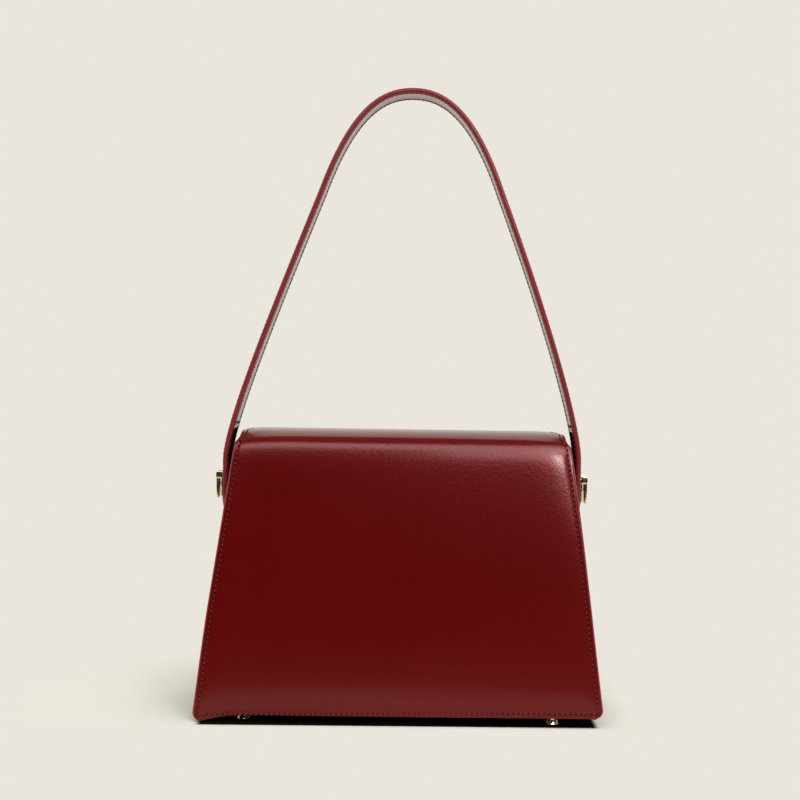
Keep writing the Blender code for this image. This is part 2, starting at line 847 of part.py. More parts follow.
for row, row_face in (("front", body_front), ("rear", body_back)):
    for side, word in ((-1, "left"), (1, "right")):
        x = side * (FLAP_WIDTH_BOTTOM / 2 - FOOT_IN_X)
        inward = 1 if row == "front" else -1
        y = row_face(FOOT_HEIGHT) + inward * FOOT_IN_Y
        foot = turned("foot_" + row + "_" + word, foot_profile(), GOLD, SMALL_SIDES)
        foot.location = (x, y, 0)
        washer = ring(
            "foot_washer_" + row + "_" + word,
            WASHER_RADIUS,
            FOOT_SHANK_RADIUS + SEAT,
            WASHER_THICKNESS,
            STEEL,
            SMALL_SIDES,
        )
        washer.location = (x, y, WASHER_Z)
        hole_height = WASHER_Z - FOOT_HEIGHT + 2 * OVERRUN
        hole = as_cutter(
            cylinder(
                "foot_hole_" + row + "_" + word,
                FOOT_SHANK_RADIUS + SEAT,
                hole_height,
                (x, y, FOOT_HEIGHT - OVERRUN + hole_height / 2),
                (0, 0, 1),
                None,
                cutters,
            )
        )
        for walled in (base_panel, base_board):
            boolean(walled, hole)


# Zip pocket on the back wall and slip pocket on the front wall, both inside
zip_z = RIM_Z - ZIP_BELOW_RIM


def on_lining_back(z, stand):
    """Y of a face that stands off the lining's back wall, towards the inside."""
    return lining_back(z) - (LINING + stand) / cos(BACK_LEAN)


def back_layer(name, half, z_low, z_high, stand, thickness, finish):
    """A thin strip of the zip, lying on the lining's back wall."""
    return tapered_block(
        name,
        lambda z: (-half, half),
        lambda z: (on_lining_back(z, stand + thickness), on_lining_back(z, stand)),
        z_low,
        z_high,
        finish,
    )


back_layer(
    "zip_tape",
    ZIP_LENGTH / 2,
    zip_z - ZIP_TAPE_WIDTH / 2,
    zip_z + ZIP_TAPE_WIDTH / 2,
    SEAT,
    ZIP_TAPE,
    ZIP_CLOTH,
)
chain_stand = SEAT + ZIP_TAPE + SEAT
back_layer(
    "zip_chain",
    ZIP_LENGTH / 2 - ZIP_END_STOP,
    zip_z - ZIP_CHAIN_WIDTH / 2,
    zip_z + ZIP_CHAIN_WIDTH / 2,
    chain_stand,
    ZIP_CHAIN,
    GOLD,
)
tapered_block(
    "zip_pocket_bag",
    lambda z: (-ZIP_LENGTH / 2, ZIP_LENGTH / 2),
    lambda z: (
        body_back(z, LINING_INSET + POCKET_CLOTH),
        body_back(z, LINING_INSET),
    ),
    zip_z - POCKET_DEPTH,
    zip_z + ZIP_TAPE_WIDTH / 2,
    CLOTH,
)
slip_top = RIM_Z - SLIP_BELOW_RIM
tapered_block(
    "slip_pocket",
    lambda z: (-SLIP_WIDTH / 2, SLIP_WIDTH / 2),
    lambda z: (
        body_front(z, LINING_INSET + LINING + SEAT),
        body_front(z, LINING_INSET + LINING + SEAT + POCKET_CLOTH),
    ),
    slip_top - SLIP_DEPTH,
    slip_top,
    CLOTH,
)

# Slider and pull: the slider is a saddle over the chain, at the chain's right-hand end
slider_x = ZIP_LENGTH / 2 - ZIP_END_STOP - SLIDER_LENGTH / 2


def slider_block(name, half_x, half_z, low, high, finish, collection=parts):
    """A block about the slider's centre, between two stands off the lining."""
    return tapered_block(
        name,
        lambda z: (slider_x - half_x, slider_x + half_x),
        lambda z: (on_lining_back(z, high), on_lining_back(z, low)),
        zip_z - half_z,
        zip_z + half_z,
        finish,
        collection,
    )


slider = slider_block(
    "zip_slider", SLIDER_LENGTH / 2, SLIDER_WIDTH / 2, chain_stand, chain_stand + SLIDER_HEIGHT, GOLD
)
channel = slider_block(
    "slider_channel",
    SLIDER_LENGTH / 2 + OVERRUN,
    ZIP_CHAIN_WIDTH / 2 + SEAT,
    chain_stand - OVERRUN,
    chain_stand + ZIP_CHAIN + SEAT,
    None,
    cutters,
)
boolean(slider, as_cutter(channel))
bail_y = on_lining_back(zip_z, chain_stand + SLIDER_HEIGHT + BAIL_STAND)
bail_half = PULL_WIDTH / 2 + SEAT
for end in (-1, 1):
    post_x = slider_x + end * (bail_half + BAIL_RADIUS)
    arm = as_cutter(
        block(
            "bail_arm_left" if end < 0 else "bail_arm_right",
            (post_x - BAIL_RADIUS, bail_y - BAIL_RADIUS, zip_z - BAIL_RADIUS),
            (post_x + BAIL_RADIUS, bail_y + BAIL_STAND + BAIL_ROOT, zip_z + BAIL_RADIUS),
            None,
            cutters,
        )
    )
    boolean(slider, arm, "UNION")
bail = as_cutter(
    cylinder(
        "bail_bar",
        BAIL_RADIUS,
        2 * (bail_half + BAIL_RADIUS),
        (slider_x, bail_y, zip_z),
        (1, 0, 0),
        None,
        cutters,
    )
)
boolean(slider, bail, "UNION")
pull_barrel_radius = BAIL_STAND - SEAT
pull = cylinder(
    "zip_pull",
    pull_barrel_radius,
    PULL_WIDTH,
    (slider_x, bail_y, zip_z),
    (1, 0, 0),
    GOLD,
)
pull_blade = as_cutter(
    block(
        "pull_blade",
        (slider_x - PULL_WIDTH / 2, bail_y - PULL_THICKNESS / 2, zip_z - PULL_LENGTH),
        (slider_x + PULL_WIDTH / 2, bail_y + PULL_THICKNESS / 2, zip_z),
        None,
        cutters,
    )
)
pull_eye = as_cutter(
    cylinder(
        "pull_eye",
        BAIL_RADIUS + RUNNING_GAP,
        PULL_WIDTH + 2 * OVERRUN,
        (slider_x, bail_y, zip_z),
        (1, 0, 0),
        None,
        cutters,
    )
)
boolean(pull, pull_blade, "UNION")
boolean(pull, pull_eye)
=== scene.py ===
# %% [markdown]
# # A flap shoulder bag in glossy calf
# The CAD model gives every size, joint and place, and this script dresses it: leather that rolls over
# the top, painted edges, stitching, plated clasps, a cloth lining with its zip, and the studio.
# Everything is in metres, +Z up, with the front of the bag at -Y.

# %% Load the frame
from math import cos, exp, pi, radians, sin, sqrt

import bmesh
import bpy
from mathutils import Matrix, Vector
from mathutils.geometry import interpolate_bezier


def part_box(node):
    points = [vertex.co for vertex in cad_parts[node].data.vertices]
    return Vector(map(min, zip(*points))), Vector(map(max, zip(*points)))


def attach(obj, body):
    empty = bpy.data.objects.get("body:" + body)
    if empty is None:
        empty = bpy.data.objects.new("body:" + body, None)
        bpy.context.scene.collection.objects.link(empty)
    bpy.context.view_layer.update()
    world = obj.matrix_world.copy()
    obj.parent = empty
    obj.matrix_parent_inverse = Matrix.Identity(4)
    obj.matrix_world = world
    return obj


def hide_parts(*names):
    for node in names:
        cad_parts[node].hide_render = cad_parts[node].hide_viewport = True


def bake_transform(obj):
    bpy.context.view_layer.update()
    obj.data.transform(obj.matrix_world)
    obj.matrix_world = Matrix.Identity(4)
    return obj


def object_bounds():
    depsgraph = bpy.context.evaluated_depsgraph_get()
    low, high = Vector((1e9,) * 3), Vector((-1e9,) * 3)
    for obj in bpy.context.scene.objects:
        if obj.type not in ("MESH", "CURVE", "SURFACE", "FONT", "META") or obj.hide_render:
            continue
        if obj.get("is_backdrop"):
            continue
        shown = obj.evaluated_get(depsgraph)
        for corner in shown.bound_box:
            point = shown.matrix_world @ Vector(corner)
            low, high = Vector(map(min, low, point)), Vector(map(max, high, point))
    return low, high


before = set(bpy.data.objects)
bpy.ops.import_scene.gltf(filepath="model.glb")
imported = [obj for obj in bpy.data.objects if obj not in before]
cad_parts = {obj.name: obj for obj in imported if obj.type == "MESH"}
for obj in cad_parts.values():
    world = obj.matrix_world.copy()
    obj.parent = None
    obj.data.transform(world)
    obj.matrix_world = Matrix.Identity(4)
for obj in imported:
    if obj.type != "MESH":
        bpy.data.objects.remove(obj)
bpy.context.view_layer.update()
MM = 0.001
SIDES = ((-1, "left"), (1, "right"))


# %% [markdown]
# ## Camera
# The photograph looks at the bag from the front, from about 0.9 m, a little above its top edge. The
# direction could come from a Track To constraint, but the picture also rolls about one degree, so the
# three axes are built from yaw, pitch and roll.

# %% Camera
CAMERA_PLACE = Vector((0.0118, -0.9000, 0.2405))
CAMERA_YAW, CAMERA_PITCH, CAMERA_ROLL = radians(-0.87), radians(-1.78), radians(0.83)
PHOTO_WIDTH = 800
FOCAL_PIXELS = 1317.6
SENSOR_MM = 36


def camera_matrix():
    ahead = Vector(
        (sin(CAMERA_YAW) * cos(CAMERA_PITCH), cos(CAMERA_YAW) * cos(CAMERA_PITCH), sin(CAMERA_PITCH))
    )
    level = Vector((cos(CAMERA_YAW), -sin(CAMERA_YAW), 0))
    upright = level.cross(ahead)
    right = level * cos(CAMERA_ROLL) + upright * sin(CAMERA_ROLL)
    up = upright * cos(CAMERA_ROLL) - level * sin(CAMERA_ROLL)
    turn = Matrix((right, up, -ahead)).transposed().to_4x4()
    return Matrix.Translation(CAMERA_PLACE) @ turn


scene = bpy.context.scene
camera = bpy.data.objects.new("photo_camera", bpy.data.cameras.new("photo_camera"))
camera.data.sensor_width = SENSOR_MM
camera.data.lens = FOCAL_PIXELS * SENSOR_MM / PHOTO_WIDTH
camera.matrix_world = camera_matrix()
scene.collection.objects.link(camera)
scene.camera = camera
scene.view_settings.view_transform = "Standard"
print("lens, mm:", round(camera.data.lens, 1))


# %% [markdown]
# ## Colours and nodes
# Colours are written as the sRGB hex values that a colour picker reads, and one function turns them
# into the linear values that the shaders use. A second function adds one node with its settings and
# its links, so that each material below reads as a short list.

# %% Helpers for materials
def linear(hex_colour):
    """An sRGB hex colour as linear RGBA."""
    channels = [int(hex_colour[i : i + 2], 16) / 255 for i in (1, 3, 5)]
    return (*[c / 12.92 if c <= 0.04045 else ((c + 0.055) / 1.055) ** 2.4 for c in channels], 1.0)


def add(tree, kind, settings=None, links=None):
    """Add a node of a kind, named without the ShaderNode that every kind starts with. Settings are
    attributes or values of its sockets, and links are the sources that its sockets are joined to."""
    node = tree.nodes.new("ShaderNode" + kind)
    for key, value in (settings or {}).items():
        if isinstance(key, str) and hasattr(node, key):
            setattr(node, key, value)
        else:
            node.inputs[key].default_value = value
    for key, source in (links or {}).items():
        tree.links.new(source, node.inputs[key])
    return node


def new_material(name, settings):
    """A Principled material and its tree, with the shader's plain numbers set on its own sockets."""
    made = bpy.data.materials.new(name)
    made.use_nodes = True
    tree = made.node_tree
    shader = tree.nodes["Principled BSDF"]
    for socket, value in settings.items():
        shader.inputs[socket].default_value = value
    place = add(tree, "TexCoord").outputs["Object"]
    return made, tree, shader, place


def per(size_mm):
    """A texture's scale for a pattern whose repeat is size_mm in the real thing."""
    return 1 / (size_mm * MM)


# %% [markdown]
# ## Leather
# Box calf is chrome-tanned calfskin that is plated smooth and given a clear glazed top coat. The eye
# sees a deep, even colour, a soft-edged gloss, pores and fine creases that show only inside a
# highlight, and a slow drift in tone from dyeing. The pores are a Voronoi bump, the creases a noise in
# the same bump, the drift a slow noise that moves both colour and gloss, and the glaze is the coat.

# %% A smooth leather
HIDE_DRIFT_MM = 70              # the tone of a hide drifts over this length
CREASE_MM = 3.2


def leather(name, pale, deep, roughness, coat, pore_mm, pore_depth_mm, gloss_drift):
    """Smooth leather between two close tones, with pores, creases and a slow drift in gloss."""
    glaze = {"Coat Weight": coat, "Coat Roughness": 0.14, "Specular Tint": (1.0, 0.36, 0.36, 1.0)}
    made, tree, shader, place = new_material(name, glaze)
    drift = add(
        tree, "TexNoise", {"Scale": per(HIDE_DRIFT_MM), "Detail": 1.0, "Roughness": 0.4}, {"Vector": place}
    )
    tone = add(
        tree, "Mix", {"data_type": "RGBA", 6: linear(deep), 7: linear(pale)}, {0: drift.outputs["Fac"]}
    )
    tree.links.new(tone.outputs[2], shader.inputs["Base Color"])
    low, high = roughness - gloss_drift, roughness + gloss_drift
    gloss = add(
        tree,
        "MapRange",
        {"From Min": 0.3, "From Max": 0.7, "To Min": low, "To Max": high},
        {"Value": drift.outputs["Fac"]},
    )
    tree.links.new(gloss.outputs["Result"], shader.inputs["Roughness"])
    pores = add(
        tree,
        "TexVoronoi",
        {"feature": "SMOOTH_F1", "Scale": per(pore_mm), "Smoothness": 0.6, "Randomness": 0.9},
        {"Vector": place},
    )
    creases = add(
        tree, "TexNoise", {"Scale": per(CREASE_MM), "Detail": 4.0, "Roughness": 0.6}, {"Vector": place}
    )
    grain = add(
        tree,
        "Math",
        {"operation": "MULTIPLY_ADD", 1: 0.7},
        {0: pores.outputs["Distance"], 2: creases.outputs["Fac"]},
    )
    depth = {"Strength": 0.28, "Distance": pore_depth_mm * MM}
    bump = add(tree, "Bump", depth, {"Height": grain.outputs["Value"]})
    tree.links.new(bump.outputs["Normal"], shader.inputs["Normal"])
    return made


# %% Leather materials
# The glazed outer leather has the deepest gloss. Its pores are half a millimetre apart, and they are
# drawn 1.7 mm apart so that they show
box_calf = leather("glazed_box_calf", "#5A0404", "#530403", 0.245, 0.28, 1.7, 0.22, 0.012)
# Lining leather is skived thin and left satin, so it is paler and shows more grain
lining_calf = leather("satin_lining_calf", "#6E1A19", "#611514", 0.42, 0.0, 0.8, 0.08, 0.04)
# The strap's inner face is the same glazed leather, left smoother, and its colour is drawn paler as a painted
# reflection of the bright backdrop that it catches at a grazing angle
strap_inner_painted_reflection = leather("worn_glazed_calf", "#8C4A46", "#80403C", 0.2, 0.3, 1.9, 0.03, 0.02)
# Behind each tab the inner face is painted shade: a dark leather without gloss, so no light comes out of the
# gap
tab_gap_painted_shade = leather("raw_calf_back", "#38090C", "#2C0608", 0.75, 0.0, 1.4, 0.1, 0.05)
tab_gap_painted_shade.node_tree.nodes["Principled BSDF"].inputs["Specular IOR Level"].default_value = 0.0
# Edge paint is brushed on in coats and dries to a smooth bead; it is drawn a touch lighter than the leather,
# partly as a painted highlight on the rolled rims that catch the light
edge_paint_and_rim_highlight = leather("painted_leather_edge", "#842C32", "#74252A", 0.32, 0.2, 1.6, 0.03, 0.03)
print("leathers:", [made.name for made in (box_calf, lining_calf, strap_inner_painted_reflection, tab_gap_painted_shade, edge_paint_and_rim_highlight)])


# %% [markdown]
# ## Thread and awl holes
# The seams are sewn with waxed polyester thread in the leather's colour, in holes cut by a lens-shaped
# awl. Thread is twisted, which the eye sees as slanting ribs, so a Wave texture ribs it, drawn coarser
# than the real twist so that it shows. A hole looks a dark slit because of the shade inside it, so its
# colour is painted shade: a deep red without gloss is enough.

# %% Thread and hole materials
TWIST_MM = 2.0                  # which sets the ribs about 0.7 mm apart
HOLE_SHADE_MM = 1.2
waxed_thread, tree, shader, place = new_material(
    "waxed_polyester_thread", {"Roughness": 0.55, "Sheen Weight": 0.1, "Sheen Roughness": 0.4}
)
ribs = add(
    tree,
    "TexWave",
    {"bands_direction": "DIAGONAL", "Scale": per(TWIST_MM), "Distortion": 1.0},
    {"Vector": place},
)
twist = add(
    tree, "Mix", {"data_type": "RGBA", 6: linear("#3A090B"), 7: linear("#5A2123")}, {0: ribs.outputs["Fac"]}
)
tree.links.new(twist.outputs[2], shader.inputs["Base Color"])
bump = add(tree, "Bump", {"Strength": 0.5, "Distance": 0.1 * MM}, {"Height": ribs.outputs["Fac"]})
tree.links.new(bump.outputs["Normal"], shader.inputs["Normal"])

# Painted shade: the hole's dark colour stands for the shade inside the awl's slit, varied by a noise
awl_hole_painted_shade, tree, shader, place = new_material("awl_hole_shadow", {"Roughness": 0.9, "Specular IOR Level": 0.1})
hole_shade_noise = add(tree, "TexNoise", {"Scale": per(HOLE_SHADE_MM), "Detail": 2.0}, {"Vector": place})
dark = add(
    tree, "Mix", {"data_type": "RGBA", 6: linear("#280506"), 7: linear("#3C0809")}, {0: hole_shade_noise.outputs["Fac"]}
)
tree.links.new(dark.outputs[2], shader.inputs["Base Color"])
print("seam finishes:", waxed_thread.name, "and", awl_hole_painted_shade.name)


# %% [markdown]
# ## Metal
# The clasps, feet and zip are brass, cast or stamped, polished and plated with pale gold; the rivets,
# washers and magnets are nickel-plated steel. Polishing leaves hairlines that only spread a highlight,
# so a stretched noise moves the roughness and a very shallow bump, and the colour stays the plating's.

# %% Metal materials
HAIRLINE_STRETCH = 0.08         # hairlines are this much finer across than along
HANDLED_MM = 9                  # handling dulls the plating in patches of this size


def plated(name, colour, roughness, hairline_mm):
    """Polished plating whose hairlines run up the piece."""
    made, tree, shader, place = new_material(name, {"Metallic": 1.0, "Base Color": linear(colour)})
    stretch = add(tree, "Mapping", {"Scale": (1.0, 1.0, HAIRLINE_STRETCH)}, {"Vector": place})
    hairlines = add(
        tree, "TexNoise", {"Scale": per(hairline_mm), "Detail": 4.0}, {"Vector": stretch.outputs["Vector"]}
    )
    handled = add(tree, "TexNoise", {"Scale": per(HANDLED_MM), "Detail": 2.0}, {"Vector": place})
    both = add(
        tree, "Math", {"operation": "MULTIPLY"}, {0: hairlines.outputs["Fac"], 1: handled.outputs["Fac"]}
    )
    gloss = add(
        tree,
        "MapRange",
        {"From Min": 0.1, "From Max": 0.5, "To Min": roughness * 0.6, "To Max": roughness * 1.5},
        {"Value": both.outputs["Value"]},
    )
    tree.links.new(gloss.outputs["Result"], shader.inputs["Roughness"])
    depth = {"Strength": 0.2, "Distance": 0.01 * MM}
    bump = add(tree, "Bump", depth, {"Height": hairlines.outputs["Fac"]})
    tree.links.new(bump.outputs["Normal"], shader.inputs["Normal"])
    return made


# Pale gold over brass gives a warm, nearly mirror-like gleam
gold_plating = plated("polished_pale_gold_plating", "#F2DDAE", 0.17, 0.35)
# Nickel is greyer, and a little duller since it is left inside
nickel_plating = plated("nickel_plated_steel", "#BDBAB4", 0.24, 0.5)
print("metals:", gold_plating.name, "and", nickel_plating.name)


# %% [markdown]
# ## Cloth
# The lining is a fine cotton twill: its weave runs in steps at 45 degrees, half a millimetre apart. The
# threads are too fine for the picture, so they are drawn 0.9 mm apart, as two crossed Wave textures
# that make both the tone and the bump. The zip's tape is woven square from a harder thread.

# %% Cloth materials
WAVES_PER_SCALE = 1 / pi        # turns a thread's spacing into the scale of a Wave texture


def woven(name, pale, deep, thread_mm, turn):
    """Cloth from two crossed sets of threads, turned about Y by an angle."""
    made, tree, shader, place = new_material(
        name, {"Roughness": 0.85, "Sheen Weight": 0.25, "Sheen Roughness": 0.5, "Specular IOR Level": 0.3}
    )
    turned = add(tree, "Mapping", {"Rotation": (0.0, turn, 0.0)}, {"Vector": place})
    warp, weft = (
        add(
            tree,
            "TexWave",
            {"bands_direction": direction, "Scale": per(thread_mm) * WAVES_PER_SCALE, "Distortion": 0.4},
            {"Vector": turned.outputs["Vector"]},
        )
        for direction in ("X", "Z")
    )
    weave = add(
        tree, "Math", {"operation": "MULTIPLY_ADD", 1: 0.6}, {0: warp.outputs["Fac"], 2: weft.outputs["Fac"]}
    )
    tone = add(tree, "MapRange", {"From Min": 0.0, "From Max": 1.6}, {"Value": weave.outputs["Value"]})
    colour = add(
        tree, "Mix", {"data_type": "RGBA", 6: linear(deep), 7: linear(pale)}, {0: tone.outputs["Result"]}
    )
    tree.links.new(colour.outputs[2], shader.inputs["Base Color"])
    depth = {"Strength": 0.4, "Distance": 0.15 * MM}
    bump = add(tree, "Bump", depth, {"Height": weave.outputs["Value"]})
    tree.links.new(bump.outputs["Normal"], shader.inputs["Normal"])
    return made


# The twill's slanting ribs give the lining a soft, matt depth; the tape is flatter and darker
twill = woven("cotton_twill_lining", "#63201F", "#3D1012", 0.9, pi / 4)
zip_cloth = woven("woven_zip_tape", "#4C1416", "#2E0B0D", 0.7, 0.0)
print("cloths:", twill.name, "and", zip_cloth.name)


# %% [markdown]
# ## Tools for leather work
# A piece of leather starts as a flat grid that is laid on its form, is given a thickness, and has its
# edges rolled. A grid is laid by a function of two shares, across and along, which keeps each form a
# short formula. The thickness comes from bmesh's solidify, and the rolled edge from its bevel, whose
# faces and the cut sides between them take the edge paint, drawn lighter in part as a painted highlight.

# %% Lay a sheet and thicken it
def lay_grid(columns, rows, form, outward):
    """A grid laid on a form and facing outward: form(across, along) gives a place, for shares from 0 to 1."""
    bm = bmesh.new()
    bmesh.ops.create_grid(bm, x_segments=columns, y_segments=rows, size=0.5)
    for vert in bm.verts:
        vert.co = form(vert.co.x + 0.5, vert.co.y + 0.5)
    bm.normal_update()
    if sum((face.normal.dot(outward) for face in bm.faces), 0.0) < 0:
        bmesh.ops.reverse_faces(bm, faces=bm.faces[:])
    bm.normal_update()
    return bm


def thicken(bm, thickness, rim=0, back=0):
    """Give a sheet its thickness, inwards from the face that shows, and return its inner points."""
    shown = set(bm.verts)
    face_side = set(bm.faces)
    bmesh.ops.solidify(bm, geom=bm.faces[:], thickness=thickness)
    for face in bm.faces:
        if face not in face_side:
            face.material_index = rim if any(vert in shown for vert in face.verts) else back
    bmesh.ops.recalc_face_normals(bm, faces=bm.faces[:])
    bm.normal_update()
    return [vert for vert in bm.verts if vert not in shown]


def lay_sheet(columns, rows, form, outward, thickness, rim=0, back=0):
    bm = lay_grid(columns, rows, form, outward)
    thicken(bm, thickness, rim, back)
    return bm


# %% Round a piece's edges
def break_edges(bm, edges, width, steps):
    """Bevel edges round, and return the new faces."""
    return bmesh.ops.bevel(
        bm, geom=edges, offset=width, segments=steps, profile=0.5, affect="EDGES", material=-1
    )["faces"]


def roll_edges(bm, width, steps, slot, keep=lambda edge: True):
    """Round the edges between two faces that turn by over 50 degrees, and give them a slot."""
    sharp = [e for e in bm.edges if len(e.link_faces) == 2 and e.calc_face_angle() > radians(50)]
    for face in break_edges(bm, [edge for edge in sharp if keep(edge)], width, steps):
        face.material_index = slot


# %% Finish a piece
def finish_piece(bm, name, materials, body=None, slot=None, replaced=(), crease=radians(40)):
    """Turn a bmesh into a smooth-shaded piece that rides on a body and stands for CAD nodes."""
    mesh = bpy.data.meshes.new(name)
    bm.to_mesh(mesh)
    bm.free()
    for finish in materials:
        mesh.materials.append(finish)
    mesh.shade_smooth()
    mesh.set_sharp_from_angle(angle=crease)
    piece = bpy.data.objects.new(name, mesh)
    scene.collection.objects.link(piece)
    if body:
        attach(piece, body)
    if replaced:
        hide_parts(*replaced)
    print(name, "faces:", len(mesh.polygons))
    return piece


# %% Helpers for lists of values
def spread(start, end, count):
    """Evenly spaced values from start up to, but not including, end."""
    return [start + (end - start) * i / count for i in range(count)]


def pick(values, share):
    """The value at a share of a list."""
    return values[round(share * (len(values) - 1))]


# %% [markdown]
# ## The flap's form
# The flap is one skin: it lies on top, rolls over the front edge, and hangs to the hem. Stiffened
# leather bends softly at first, then tightly where its board ends, and then opens slowly, so the side
# view has a wide radius, a tight one, and a stretch where the turn fades. It could be a curve drawn by
# eye, but it is walked in small steps from that rule, which keeps its length true. The skin is then
# laid on it with a slight crown across, and the little slackness of a used bag: its sides bow and hang
# a little to the right, draw in along the roll, and the hem slants and sags at its left corner.

# %% The flap's side view
crest_low, crest_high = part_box("flap_top_leather")
CREST_Z = crest_high.z - 0.8 * MM
HEM_Z = 6.0 * MM
FLAP_HALF_TOP = 111.2 * MM      # side edges carried up to the crest
FLAP_HALF_BOTTOM = 135.7 * MM   # and down to the hem
CREST_HALF = crest_high.x
HEM_CORNER = 5.5 * MM
FOLD_Y = crest_low.y            # where the CAD's roll leaves its flat top
ROLL_Y = 4.27 * MM              # where the leather starts to bend
SOFT_RADIUS, SOFT_TURN = 68.0 * MM, radians(20.3)
TIGHT_RADIUS, TIGHT_TURN = 5.5 * MM, radians(66)
FOLD_FADE = 6.5 * MM            # the rest of the turn fades over this length
FACE_TURN = radians(83.8)       # the hanging face, nearly upright
HEM_SPARE = 6.0 * MM            # the walk goes this far past the hem, for the hem's droop
WALK_STEP = 0.25 * MM


def walk_side_view():
    """Points (distance, y, z, turn) down the flap from the start of the roll to just past the hem."""
    distance, y, z, turn = 0.0, ROLL_Y, CREST_Z, 0.0
    points = [(distance, y, z, turn)]
    while z > HEM_Z - HEM_SPARE:
        if turn < TIGHT_TURN:
            turn += WALK_STEP / (SOFT_RADIUS if turn < SOFT_TURN else TIGHT_RADIUS)
        else:
            turn += (FACE_TURN - turn) * WALK_STEP / FOLD_FADE
        y -= cos(turn) * WALK_STEP
        z -= sin(turn) * WALK_STEP
        distance += WALK_STEP
        points.append((distance, y, z, turn))
    return points


SIDE_VIEW = walk_side_view()
FLAP_DROP, HEM_Y = next(point[:2] for point in SIDE_VIEW if point[2] <= HEM_Z)
print("roll to hem, mm:", round(FLAP_DROP / MM, 1), "hem at y, mm:", round(HEM_Y / MM, 1))


# %% Read the side view
def smooth_step(share):
    share = min(max(share, 0.0), 1.0)
    return share * share * (3 - 2 * share)


def side_view_at(distance):
    """Y, z and turn at a distance down the flap. Above the roll the flap is flat."""
    if distance <= 0:
        return ROLL_Y - distance, CREST_Z, 0.0
    position = min(distance / SIDE_VIEW[-1][0], 1.0) * (len(SIDE_VIEW) - 1)
    before = min(int(position), len(SIDE_VIEW) - 2)
    share = position - before
    pairs = zip(SIDE_VIEW[before][1:], SIDE_VIEW[before + 1][1:])
    return tuple(low + (high - low) * share for low, high in pairs)


def fallen(distance):
    """How far down the flap a point is, as a share of its height."""
    return (CREST_Z - side_view_at(distance)[1]) / (CREST_Z - HEM_Z)


print("height fallen half way down the flap:", round(fallen(FLAP_DROP / 2), 2))


# %% The flap's edges
SKIN_JOIN_Y = 12.5 * MM         # on the flat top, where the front skin meets the rear one
ON_TOP = SKIN_JOIN_Y - ROLL_Y
ROLLED_AT, ROLL_SPAN = 32.0 * MM, 13.0 * MM     # the sides are drawn in along this stretch of the roll
ROLL_DRAW = 2.4 * MM            # by this much, and by the rest along the top
CREST_AT = 4.5 * MM
SIDE_BOW, BOW_FROM = 0.7 * MM, 0.6      # the sides bow out, down to this share of the height
SWAY = 0.6 * MM                 # the upper half hangs this much to the right
SWAY_LEAD = 10 * MM             # it has it all from here down
SWAY_FROM, SWAY_SPAN = 0.3, 0.45        # and loses it from this share of the height, over this span
HEM_SLANT = 0.9 * MM            # the hem hangs this much lower at its left end and higher at its right
CORNER_DROOP, CORNER_WIDTH = 4.4 * MM, 17.0 * MM    # and its left corner sags


def flap_half(distance):
    """Half the flap's width: nearly straight sides, drawn in where they roll over and along the top."""
    share = fallen(distance)
    half = FLAP_HALF_TOP + (FLAP_HALF_BOTTOM - FLAP_HALF_TOP) * share
    half += SIDE_BOW * (1 - smooth_step((share - BOW_FROM) / (1 - BOW_FROM)))
    rolled = smooth_step((ROLLED_AT - distance) / ROLL_SPAN)
    on_top = smooth_step((CREST_AT - distance) / (CREST_AT + ON_TOP - 1 * MM))
    return half - ROLL_DRAW * rolled - (FLAP_HALF_TOP + SIDE_BOW - CREST_HALF - ROLL_DRAW) * on_top


def flap_sway(distance):
    """How far right of the middle the flap hangs: nothing at the join and along the hem."""
    on_front = smooth_step((distance + ON_TOP) / (ON_TOP + SWAY_LEAD))
    return SWAY * on_front * (1 - smooth_step((fallen(distance) - SWAY_FROM) / SWAY_SPAN))


def hem_droop(x, distance):
    """How much further down a point near the hem lies than on an evenly cut flap."""
    slant = -HEM_SLANT * x / FLAP_HALF_BOTTOM
    corner = CORNER_DROOP * exp(-(((x + FLAP_HALF_BOTTOM) / CORNER_WIDTH) ** 2))
    return (slant + corner) * max(0.0, distance / FLAP_DROP) ** 6


print("flap's width at its roll and hem, mm:", [round(2 * flap_half(d) / MM, 1) for d in (0, FLAP_DROP)])


# %% Where a point of the flap lies
FLAP_CROWN = 1.0 * MM
SEAM_MARGIN = 3.6 * MM          # from the flap's edge to its stitches
SEAM_GROOVE, GROOVE_WIDTH = 0.22 * MM, 0.8 * MM
FALL, FALL_WIDTH = 0.7 * MM, 16.0 * MM              # the leather falls this far towards its edge
CORNER_FALL, CORNER_FALL_WIDTH = 2.6 * MM, 32.0 * MM    # and further where it has rolled over
TOP_SHARE, TOP_LEAD = 0.1, 8 * MM       # a little of that fall is there just before the roll
FALL_FROM, FALL_GROWS = 10 * MM, 20 * MM        # the rest grows along this stretch of it
FALL_FADES_FROM, FALL_FADES = 34 * MM, 60 * MM  # and fades down the face


def flap_outward(distance):
    turn = side_view_at(distance)[2]
    return Vector((0, -sin(turn), cos(turn)))


def rolled_over(distance):
    """How much of the further fall a point has, from 0 to 1."""
    grown = TOP_SHARE * smooth_step(1 + distance / TOP_LEAD)
    grown += (1 - TOP_SHARE) * smooth_step((distance - FALL_FROM) / FALL_GROWS)
    return grown * (1 - smooth_step((distance - FALL_FADES_FROM) / FALL_FADES))


def seam_pull(from_edge, corner):
    """How far leather lies under its form: a groove at the thread and a soft fall towards the edge."""
    groove = SEAM_GROOVE * exp(-(((from_edge - SEAM_MARGIN) / GROOVE_WIDTH) ** 2))
    plain = FALL * max(0.0, 1 - from_edge / FALL_WIDTH) ** 2
    rolled = CORNER_FALL * max(0.0, 1 - from_edge / CORNER_FALL_WIDTH) ** 2
    return groove + plain + (rolled - plain) * corner


